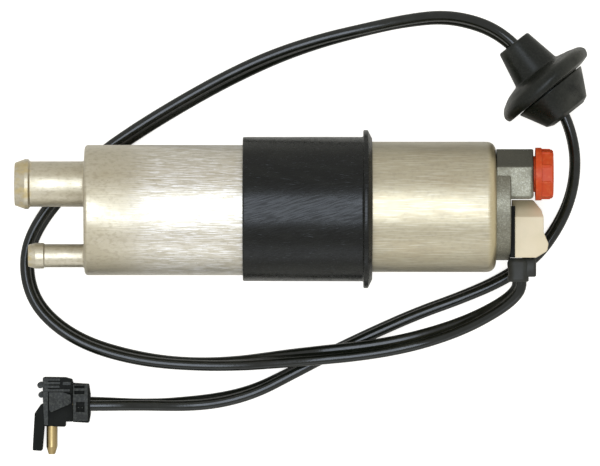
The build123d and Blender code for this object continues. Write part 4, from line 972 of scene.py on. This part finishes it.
@dataclass
class Connector(SubAssembly):
    """Cream connector housing on the cover, its insulating strip, and the rubber boot below it.

    Attributes:
        gap: of the boot from the housing and from the cover's collar.
        block_x: lowest and highest X of the boot's block, behind its sleeve.
        block_half: half of the block's height along Z.
        block_low: Y of the block's lower end.
        sleeve_x: lowest and highest X of the sleeve round the lead.
        sleeve_half: half of the sleeve's height along Z.
        collar_step: from the cover's lowest Y up to the collar's underside.
        mouth: half width and half height of the sleeve's opening.
        mouth_depth: of the opening.
    """

    gap: float = 0.15
    block_x: Pair = (69.0, 76.8)
    block_half: float = 5.2
    block_low: float = -22.35
    sleeve_x: Pair = (67.5, 74.35)
    sleeve_half: float = 6.1
    collar_step: float = 3.45
    mouth: Pair = (2.1, 3.8)
    mouth_depth: float = 2.5
    finishes: ClassVar[dict[str, Look]] = {
        "terminal_posts": Metal.ZINC,
        "terminal_bushes": Soft.PHENOLIC,
        "connector_backing": Soft.NYLON_SMOOTH_SHADED,
        "connector_housing": Soft.NYLON_CREAM,
        "lead_terminals": Metal.BRASS,
    }

    @staticmethod
    def stacked(x: Pair, half: float, levels: list[tuple[float, ...]]) -> Shell:
        """Joins rounded rectangles, one below the other, to a closed block.

        Args:
            x: lowest and highest X at full size.
            half: half height along Z at full size.
            levels: Y of each, how far its left, right and Z sides stand in, and its corner radius.

        Returns:
            The surface.
        """
        loops = []
        for y, left, right, inset, radius in levels:
            ends = (x[0] + left, x[1] - right)
            flat = rounded(box_corners(ends, (inset - half, half - inset), radius), steps=8)
            loops.append(np.insert(flat, 1, y, axis=1))
        return grid_shell(np.array(loops), cap_ends=True)

    def boot(self) -> None:
        """Makes the boot: a block under the housing and a waisted sleeve with the lead's mouth."""
        top = node_box("connector_housing")[0][1] - self.gap
        low = self.block_low
        block = [
            (top, 0.3, 0.3, 0.3, 0.8),
            (top - 0.3, 0.0, 0.0, 0.0, 1.0),
            (low + 0.4, 0.0, 0.0, 0.0, 1.0),
            (low, 0.4, 0.4, 0.4, 0.8),
        ]
        top = node_box("outlet_cover")[0][1] + self.collar_step - self.gap
        low = node_box("connector_boot")[0][1]
        side = (self.sleeve_x[1] - self.sleeve_x[0]) / 2 - self.mouth[0]
        mouth = (side, side, self.sleeve_half - self.mouth[1], 1.2)
        sleeve = [
            (top, 0.9, 0.9, 0.9, 1.6),
            (top - 0.5, 0.35, 0.3, 0.35, 2.0),
            (top - 1.7, -0.1, 0.0, 0.0, 2.2),
            (low + 2.6, 0.25, 0.1, 0.25, 2.2),
            (low + 1.3, 0.0, 0.0, 0.0, 2.2),
            (low + 0.4, 0.05, 0.0, 0.0, 2.2),
            (low, 0.45, 0.45, 0.45, 1.8),
            (low, *mouth),
            (low + self.mouth_depth, *mouth),
        ]
        shells = [
            self.stacked(self.block_x, self.block_half, block),
            self.stacked(self.sleeve_x, self.sleeve_half, sleeve),
        ]
        piece = make_piece("rubber_boot", shells, Soft.BOOT, smooth_under=50.0)
        self.seat(piece, "black_rubber", "connector_boot")

    def build(self) -> None:
        """Dresses the housing and its terminals and makes the boot."""
        self.dress()
        self.boot()


@dataclass
class Grommet(SubAssembly):
    """Bulkhead grommet: a tapered neck, a wide flange, the panel's groove and a cone.

    The section's corners are the distance along the axis from the flange's middle, towards the
    neck, the radius there, and the corner's rounding.

    Attributes:
        centre: the flange's middle.
        angle: direction of the neck in the XY plane, in degrees from +X.
        section: corners of the closed section.
        bend_r: radii from which and up to which the flange's bend grows.
        tilt: how far the flange's rim leans along the axis, to the neck at its right end.
    """

    centre: Place = (80.1, 41.4, -8.5)
    angle: float = 128.0
    section: tuple[Corner, ...] = (
        (17.1, 3.8, 0.3), (17.1, 5.9, 0.8), (5.0, 8.3, 0.8), (3.9, 12.6, 8.0), (2.2, 16.5, 4.5),
        (0.0, 17.8, 2.1), (-2.0, 16.9, 1.1), (-2.38, 13.6, 0.8), (-2.4, 11.0, 0.1),
        (-2.65, 11.0, 0.1), (-2.65, 13.1, 0.3), (-11.6, 8.4, 0.9), (-12.6, 6.2, 1.0),
        (-12.6, 3.8, 0.3), (-8.0, 3.2, 1.0), (12.0, 3.2, 1.0),
    )
    bend_r: Pair = (9.0, 17.5)
    tilt: float = 0.95

    def build(self) -> None:
        """Turns the section about the grommet's axis and bends the flange.

        A point of the flange, and of the cone's edge that follows it, moves along the axis by the
        tilt times the square of its share of the flange's height, and times the cosine of its angle
        from the flange's right end.
        """
        profile = refined(rounded(self.section, steps=7), step=1.0)
        turn = math.radians(self.angle)
        axis = np.array((math.cos(turn), math.sin(turn), 0.0))
        shell = turned(profile, self.centre, sides=160, direction=tuple(axis))
        points = shell.points.reshape(len(profile), -1, 3)
        height = np.interp(profile[:, 1:], self.bend_r, (0.0, 1.0))
        bend = -self.tilt * height**2 * np.cos(full_turn(points.shape[1]))
        points += bend[..., None] * axis
        piece = make_piece("rubber_grommet", [shell], Soft.GROMMET, smooth_under=32.0)
        self.seat(piece, "black_rubber", "grommet")


@dataclass(frozen=True)
class Form:
    """One upright form of the plug's body or cover.

    Attributes:
        outline: X, Y and rounding of its corners.
        drop: from the plug's upper face to the form's.
        deep: from the plug's upper face to the form's lower face.
        skin: 0 where it is grained, 1 where it is smooth and darker as painted shade.
        steps: points on each rounded corner.
    """

    outline: Sequence[Corner]
    drop: float
    deep: float
    skin: int = 0
    steps: int = 6

    def shell(self, top: float) -> Shell:
        """Carries the rounded outline straight up between two depths under the plug's top."""
        outline = rounded(self.outline, self.steps)
        return prism(outline, top - self.deep, top - self.drop, self.skin)


def rib(left: float, right: float, y: float) -> Form:
    """Gives a low rib, 0.84 mm wide, along X about a place on Y."""
    return Form(box_corners((left, right), (y - 0.42, y + 0.42), 0.2), drop=0.1, deep=1.2)


def post(x: float, y: float, radius: float, drop: float, deep: float) -> Form:
    """Gives a round post as a square whose corners are rounded to nearly half its width."""
    square = box_corners((x - radius, x + radius), (y - radius, y + radius), 0.99 * radius)
    return Form(square, drop, deep, steps=9)


@dataclass
class TwoPinPlug(SubAssembly):
    """Small angled plug: ribbed body with its key arm, granular cover and two brass pins.

    Attributes:
        top: height of the upper face.
        skins: finishes of its grained faces and of its smooth faces, which are darker as painted
            shade.
        body_forms: block, back plate, panel, upper part, ribs, boss, posts and key arm.
        cover_forms: the cover's block, and two dots in its window.
        columns: edges along X of the cells of the cover's skin.
        rows: their edges along Y.
        openings: column and row of the open cells: two slots and a square window.
        skin_depth: thickness of that skin.
    """

    top: float = -11.1
    # the second finish is darker, as painted shade on the recessed faces
    skins: tuple[Look, Look] = (Soft.NYLON_BLACK, Soft.NYLON_SMOOTH_SHADED)
    body_forms: tuple[Form, ...] = (
        Form(
            (
                (-86.2, -55.7, 0.4), (-78.9, -55.8, 0.6), (-76.7, -56.4, 0.5),
                (-76.3, -57.7, 0.3), (-76.3, -70.4, 0.2), (-78.8, -70.4, 0.2),
                (-78.8, -72.1, 0.3), (-85.7, -71.9, 0.3), (-86.2, -62.0, 0.3),
            ),
            drop=1.9, deep=15.0, skin=1,
        ),
        Form(
            (
                (-86.2, -55.8, 0.3), (-84.4, -55.8, 0.3), (-84.4, -71.5, 0.3),
                (-85.7, -71.6, 0.3), (-86.2, -62.0, 0.3),
            ),
            drop=0.3, deep=3.0,
        ),
        Form(
            (
                (-84.2, -60.6, 0.2), (-79.5, -60.6, 0.5), (-76.9, -61.5, 0.5),
                (-76.9, -64.4, 0.4), (-79.6, -65.6, 0.8), (-83.4, -67.3, 0.4),
                (-84.0, -66.6, 0.3),
            ),
            drop=0.3, deep=3.0,
        ),
        Form(
            (
                (-86.2, -55.7, 0.4), (-78.9, -55.8, 0.6), (-76.7, -56.4, 0.5),
                (-76.3, -57.7, 0.3), (-76.4, -61.0, 0.3), (-86.2, -61.0, 0.2),
            ),
            drop=0.9, deep=3.0, skin=1,
        ),
        rib(-85.9, -80.4, -56.4),
        rib(-85.9, -80.4, -57.6),
        rib(-85.9, -80.6, -58.8),
        rib(-85.9, -77.2, -60.0),
        Form(box_corners((-79.6, -76.9), (-57.2, -58.3), 0.2), drop=0.2, deep=1.2),
        post(-78.4, -63.9, radius=1.15, drop=0.0, deep=3.0),
        post(-87.0, -58.3, radius=1.06, drop=1.6, deep=13.4),
        post(-86.7, -61.5, radius=1.0, drop=1.6, deep=13.4),
        Form(
            (
                (-86.8, -64.6, 0.5), (-88.9, -67.6, 0.8), (-89.6, -79.9, 0.4),
                (-86.5, -80.1, 0.4), (-85.8, -71.7, 0.3), (-85.6, -64.6, 0.3),
            ),
            drop=1.5, deep=13.5, skin=1,
        ),
    )
    cover_forms: tuple[Form, ...] = (
        Form(
            (
                (-76.26, -57.7, 0.2), (-71.1, -58.0, 0.3), (-70.6, -61.3, 0.6),
                (-70.55, -68.0, 0.6), (-71.0, -70.8, 0.3), (-76.26, -70.5, 0.2),
            ),
            drop=1.6, deep=15.0, skin=1,
        ),
        Form(box_corners((-74.7, -74.1), (-66.0, -65.4), 0.15), drop=0.8, deep=1.8),
        Form(box_corners((-73.4, -72.8), (-66.0, -65.4), 0.15), drop=0.8, deep=1.8),
    )
    columns: tuple[float, ...] = (-76.2, -75.7, -75.1, -72.4, -71.2)
    rows: tuple[float, ...] = (-70.2, -67.1, -63.9, -61.2, -60.2, -59.2, -58.5, -58.0)
    openings: tuple[tuple[int, int], ...] = ((1, 3), (2, 3), (1, 5), (2, 5), (2, 1))
    skin_depth: float = 1.8
    finishes: ClassVar[dict[str, Look]] = {"plug_pins": Metal.BRASS}

    def moulded_body(self) -> None:
        """Makes the body out of its forms."""
        shells = [form.shell(self.top) for form in self.body_forms]
        piece = make_piece("plug_moulding", shells, self.skins, smooth_under=40.0, edge=0.18)
        self.seat(piece, "black_plastic", "plug_body")

    def cover(self) -> None:
        """Makes the cover out of its forms and the pierced skin over them."""
        shells = [form.shell(self.top) for form in self.cover_forms]
        low = self.top - self.skin_depth
        shells.insert(1, pierced(self.columns, self.rows, self.openings, low, self.top))
        piece = make_piece("plug_cover_moulding", shells, self.skins, smooth_under=40.0, edge=0.15)
        self.seat(piece, "black_plastic", "plug_cover")

    def build(self) -> None:
        """Dresses the pins and makes the body and the cover."""
        self.dress()
        self.moulded_body()
        self.cover()


@dataclass
class TwinLead(SubAssembly):
    """The flat lead of two round cores side by side, from the boot through the grommet to the plug.

    Attributes:
        width: across both cores.
        thickness: of one core.
        web: half thickness of the web between the cores.
        length: real length of the lead; not used.
        exit: where it leaves the boot; not used.
        route: control points of the centre line.
        twists: share of the length and turn of the flat section about the line, in degrees.
        resolution: points of the line for each control point.
        edge_points: points round the flat section.
        reach: points on each side over which the twist and the lift are evened out.
        clearance: least height of the lead over the floor.
        carried: modelled pieces that the lead carries; not used.
    """

    width: float = 7.0
    thickness: float = 3.5
    web: float = 1.2
    length: float = 627.0
    exit: Place = (71.0, -23.8, 0.0)
    route: tuple[Place, ...] = (
        (70.9, -20.5, 0.0), (71.9, -24.6, -0.6), (69.7, -28.7, -3.0), (63.8, -33.1, -7.5),
        (54.0, -38.2, -12.0), (42.5, -42.3, -15.2), (30.5, -45.3, -16.2), (18.0, -47.2, -16.0),
        (6.0, -48.4, -16.4), (-7.0, -49.7, -18.6), (-20.5, -51.2, -21.4), (-34.0, -51.6, -22.6),
        (-48.0, -50.7, -22.6), (-61.0, -48.2, -22.6), (-72.5, -44.4, -22.6), (-82.0, -38.6, -22.6),
        (-88.8, -31.2, -22.6), (-91.8, -22.4, -22.6), (-91.5, -13.0, -22.6), (-87.4, -4.0, -22.8),
        (-79.5, 6.0, -23.0), (-68.0, 17.2, -23.0), (-54.5, 26.5, -23.0), (-40.0, 35.3, -23.0),
        (-25.0, 43.6, -22.7), (-10.0, 50.6, -22.6), (5.0, 55.8, -22.4), (20.0, 59.6, -21.6),
        (34.0, 62.6, -19.4), (47.0, 63.9, -15.5), (58.5, 61.4, -11.2), (66.6, 57.0, -8.9),
        (72.6, 51.0, -8.5), (79.0, 42.8, -8.5), (85.0, 34.0, -8.5), (88.6, 26.0, -9.2),
        (90.4, 16.0, -12.0), (89.2, 5.0, -16.6), (84.9, -5.5, -20.6), (77.3, -15.9, -22.5),
        (66.0, -23.6, -22.6), (52.5, -29.4, -22.6), (38.5, -34.4, -22.6), (24.5, -40.5, -22.6),
        (10.0, -47.4, -22.6), (-4.0, -54.6, -22.6), (-16.0, -60.6, -22.7), (-28.5, -63.8, -22.8),
        (-42.0, -64.9, -22.2), (-54.0, -64.9, -20.4), (-63.0, -64.7, -18.8), (-70.7, -64.6, -18.6),
    )
    twists: tuple[Pair, ...] = (
        (0.00, 73.0), (0.02, 62.0), (0.045, 48.0), (0.065, 34.0), (0.115, 31.0), (0.135, 38.0),
        (0.155, 54.0), (0.175, 70.0), (0.20, 78.0), (0.23, 68.0), (0.30, 71.0), (0.34, 66.0),
        (0.40, 57.0), (0.47, 57.0), (0.54, 80.0), (0.60, 67.0), (0.66, 88.0), (0.70, 88.0),
        (0.73, 78.0), (0.755, 74.0), (0.785, 79.0), (0.88, 79.0), (0.94, 60.0), (0.97, 86.0),
        (1.00, 68.0),
    )
    resolution: int = 24
    edge_points: int = 48
    reach: int = 8
    clearance: float = 0.1
    carried: tuple[str, ...] = ("rubber_grommet", "plug_moulding", "plug_cover_moulding")

    def line(self) -> np.ndarray:
        """Reads the centre line off a quadratic NURBS curve with the route's control points.

        Returns:
            Points about 1 mm apart along the line, in millimetres.
        """
        curve = bpy.data.curves.new("lead_route", "CURVE")
        curve.dimensions = "3D"
        spline = curve.splines.new("NURBS")
        spline.points.add(len(self.route) - 1)
        weighted = np.column_stack([np.array(self.route) * MM, np.ones(len(self.route))])
        spline.points.foreach_set("co", weighted.ravel())
        spline.order_u = 3
        spline.use_endpoint_u = True
        spline.resolution_u = self.resolution
        guide = show("lead_route", curve)
        bpy.context.view_layer.update()
        mesh = bpy.data.meshes.new_from_object(guide)
        points = np.zeros(3 * len(mesh.vertices))
        mesh.vertices.foreach_get("co", points)
        points = points.reshape(-1, 3) / MM
        bpy.data.objects.remove(guide)
        bpy.data.curves.remove(curve)
        bpy.data.meshes.remove(mesh)
        steps = np.linalg.norm(np.diff(points, axis=0), axis=1)
        travelled = np.concatenate([[0], np.cumsum(steps)])
        even = np.linspace(0, travelled[-1], int(travelled[-1]))
        return np.column_stack([np.interp(even, travelled, points[:, k]) for k in range(3)])

    def section(self) -> np.ndarray:
        """Works out the flat section, as two circles side by side with a web between them.

        At each angle the edge is the farther edge of the two circles, and never nearer than the
        web.

        Returns:
            Rows of the places across and along the section's thickness.
        """
        radius = self.thickness / 2
        offset = self.width / 2 - radius
        angle = full_turn(self.edge_points)
        inside = np.maximum(radius**2 - (offset * np.sin(angle)) ** 2, 0.0)
        reach = offset * np.abs(np.cos(angle)) + np.sqrt(inside)
        web = np.minimum(self.web / np.maximum(np.abs(np.sin(angle)), 1e-3), radius)
        reach = np.maximum(reach, web)
        return np.column_stack([reach * np.cos(angle), reach * np.sin(angle)])

    def build(self) -> None:
        """Carries the section along the line, turned by the twists.

        The section's wide side is level at twist 0, square to the line, and each ring of points is
        the line's point plus the section's places along its two turned directions. Where the ring
        would go below the floor, the line is lifted.
        """
        line = self.line()
        tangent = unit(np.gradient(line, axis=0))
        side = unit(np.cross((0.0, 0.0, 1.0), tangent))
        above = np.cross(tangent, side)
        shares, degrees = np.array(self.twists).T
        twist = np.radians(np.interp(np.linspace(0, 1, len(line)), shares, degrees))
        twist = even_out(twist, self.reach)[:, None]
        wide = np.cos(twist) * side + np.sin(twist) * above
        thick = np.cos(twist) * above - np.sin(twist) * side
        across, along = self.section().T
        loops = across[None, :, None] * wide[:, None] + along[None, :, None] * thick[:, None]
        lowest = line[:, 2] + loops[..., 2].min(axis=1)
        line[:, 2] += even_out(np.maximum(FLOOR_Z + self.clearance - lowest, 0.0), self.reach)
        rings = line[:, None] + loops
        shell = grid_shell(rings, cap_ends=True)
        lead = make_piece("twin_lead", [shell], Soft.JACKET, smooth_under=60.0)
        self.seat(lead, "lead_jacket", "lead_to_pump", "lead_to_plug")
        [c * MM for c in self.exit]
        ([bpy.data.objects[name] for name in self.carried]
            + [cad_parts["plug_pins"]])


# Stage


@dataclass(frozen=True)
class Lamp:
    """One soft lamp that faces the pump.

    Attributes:
        name: the lamp's name.
        place: its place in millimetres.
        size: its width and height in millimetres.
        power: its power in watts.
        colour: its linear red, green and blue.
    """

    name: str
    place: Place
    size: Pair
    power: float
    colour: tuple[float, float, float]

    def hang(self) -> None:
        """Adds the lamp to the scene, turned towards the pump."""
        light = bpy.data.lights.new(self.name, "AREA")
        light.shape = "RECTANGLE"
        light.size, light.size_y = self.size[0] * MM, self.size[1] * MM
        light.energy = self.power
        light.color = self.colour
        lamp = show(self.name, light)
        lamp.location = np.array(self.place) * MM
        lamp.rotation_euler = Vector([-c for c in self.place]).to_track_quat("-Z", "Y").to_euler()


@dataclass
class Studio:
    """Pale floor, soft light and the camera straight above.

    Attributes:
        centre: X and Y of the picture's middle.
        distance: of the camera from the pump's axis.
        frame_width: width of the picture on the pump's axis.
        sensor: the camera's width.
        reach: farthest distance that the camera sees.
        floor_half: half width of the floor.
        paper: the floor's colour.
        floor_roughness: its roughness, from 0 to 1.
        floor_glow: light that the floor adds for the camera alone, so that it shows white.
        air: colour of the soft light from all round.
        sky: strength of that light.
        lamps: the lamp overhead and the one at the pump's lower side.
    """

    centre: Pair = (-1.0, -7.9)
    distance: float = 3000.0
    frame_width: float = 197.9
    sensor: float = 36.0
    reach: float = 20000.0
    floor_half: float = 1500.0
    paper: str = "f5efe2"
    floor_roughness: float = 0.5
    floor_glow: float = 0.7
    air: str = "f6f7f8"
    sky: float = 0.5
    lamps: tuple[Lamp, ...] = (
        Lamp("key", (-150.0, 0.0, 3800.0), (3000.0, 1500.0), 95.0, (0.77, 0.86, 1.0)),
        Lamp("fill", (0.0, -4500.0, 1200.0), (4000.0, 2000.0), 24.0, (0.84, 0.91, 1.0)),
    )

    def floor(self) -> None:
        """Makes the pale floor, which shows white to the camera but for the object's shadow."""
        ends = (-self.floor_half, self.floor_half)
        corners = np.array(box_corners(ends, ends, FLOOR_Z - FLOOR_GAP)) * MM
        mesh = bpy.data.meshes.new("floor")
        mesh.from_pydata(corners.tolist(), [], [[0, 1, 2, 3]])
        material = bpy.data.materials.new("pale_floor")
        tree = empty_tree(material)
        colours = {"Color": linear(self.paper), "Roughness": self.floor_roughness}
        paper = add_node(tree, "ShaderNodeBsdfDiffuse", colours).outputs[0]
        light = {"Color": WHITE, "Strength": self.floor_glow}
        glow = add_node(tree, "ShaderNodeEmission", light).outputs[0]
        rays = add_node(tree, "ShaderNodeLightPath")
        both = add_node(tree, "ShaderNodeAddShader", {0: paper, 1: glow}).outputs[0]
        choice = {0: rays.outputs["Is Camera Ray"], 1: paper, 2: both}
        shown = add_node(tree, "ShaderNodeMixShader", choice)
        add_node(tree, "ShaderNodeOutputMaterial", {"Surface": shown.outputs[0]})
        mesh.materials.append(material)
        show("floor", mesh)

    def world(self) -> None:
        """Sets a plain soft sky, white where the camera and the metal see it."""
        world = bpy.data.worlds.new("studio")
        bpy.context.scene.world = world
        tree = empty_tree(world)
        rays = add_node(tree, "ShaderNodeLightPath")
        seen = rays.outputs["Is Camera Ray"]
        for other in ("Is Transmission Ray", "Is Glossy Ray"):
            either = {0: seen, 1: rays.outputs[other]}
            seen = add_node(tree, "ShaderNodeMath", either, operation="MAXIMUM").outputs[0]
        choice = {0: seen}
        for number, colour, strength in ((1, linear(self.air), self.sky), (2, WHITE, 1.0)):
            light = {"Color": colour, "Strength": strength}
            choice[number] = add_node(tree, "ShaderNodeBackground", light).outputs[0]
        shown = add_node(tree, "ShaderNodeMixShader", choice)
        add_node(tree, "ShaderNodeOutputWorld", {"Surface": shown.outputs[0]})

    def camera(self) -> None:
        """Places the camera straight above, with the photograph's long lens."""
        data = bpy.data.cameras.new("camera")
        data.sensor_width = self.sensor
        data.lens = self.sensor * self.distance / self.frame_width
        data.clip_end = self.reach * MM
        camera = show("camera", data)
        camera.location = (self.centre[0] * MM, self.centre[1] * MM, self.distance * MM)
        bpy.context.scene.camera = camera

    def build(self) -> None:
        """Sets up the floor, the light and the camera."""
        self.floor()
        self.world()
        for lamp in self.lamps:
            lamp.hang()
        self.camera()
        bpy.context.scene.view_settings.view_transform = "Standard"


def main() -> None:
    """Builds the stage, then the pump from its inlet to its plug."""
    Studio().build()
    parts: list[SubAssembly] = [InletEnd(), PumpStage(), Motor(), OutletEnd()]
    parts += [MountingSleeve(), Connector(), Grommet()]
    parts += [Seal(node=name) for name in ("housing_o_ring", "casing_o_ring", "cover_o_ring")]
    parts += [
        CoilSpring(),
        CoilSpring(node="relief_spring", joint="relief_valve_lift", fixed=0),
        CoilSpring(node="brush_spring_front", joint="brush_front_slide", axis=2, travel=1.5),
        CoilSpring(node="brush_spring_back", joint="brush_back_slide", axis=2, fixed=0, travel=1.5),
    ]
    parts += [Seal(body="outlet_plug"), TwoPinPlug(), TwinLead()]
    for part in parts:
        part.build()


if __name__ == "__main__":
    logging.basicConfig(level=logging.INFO)
    main()
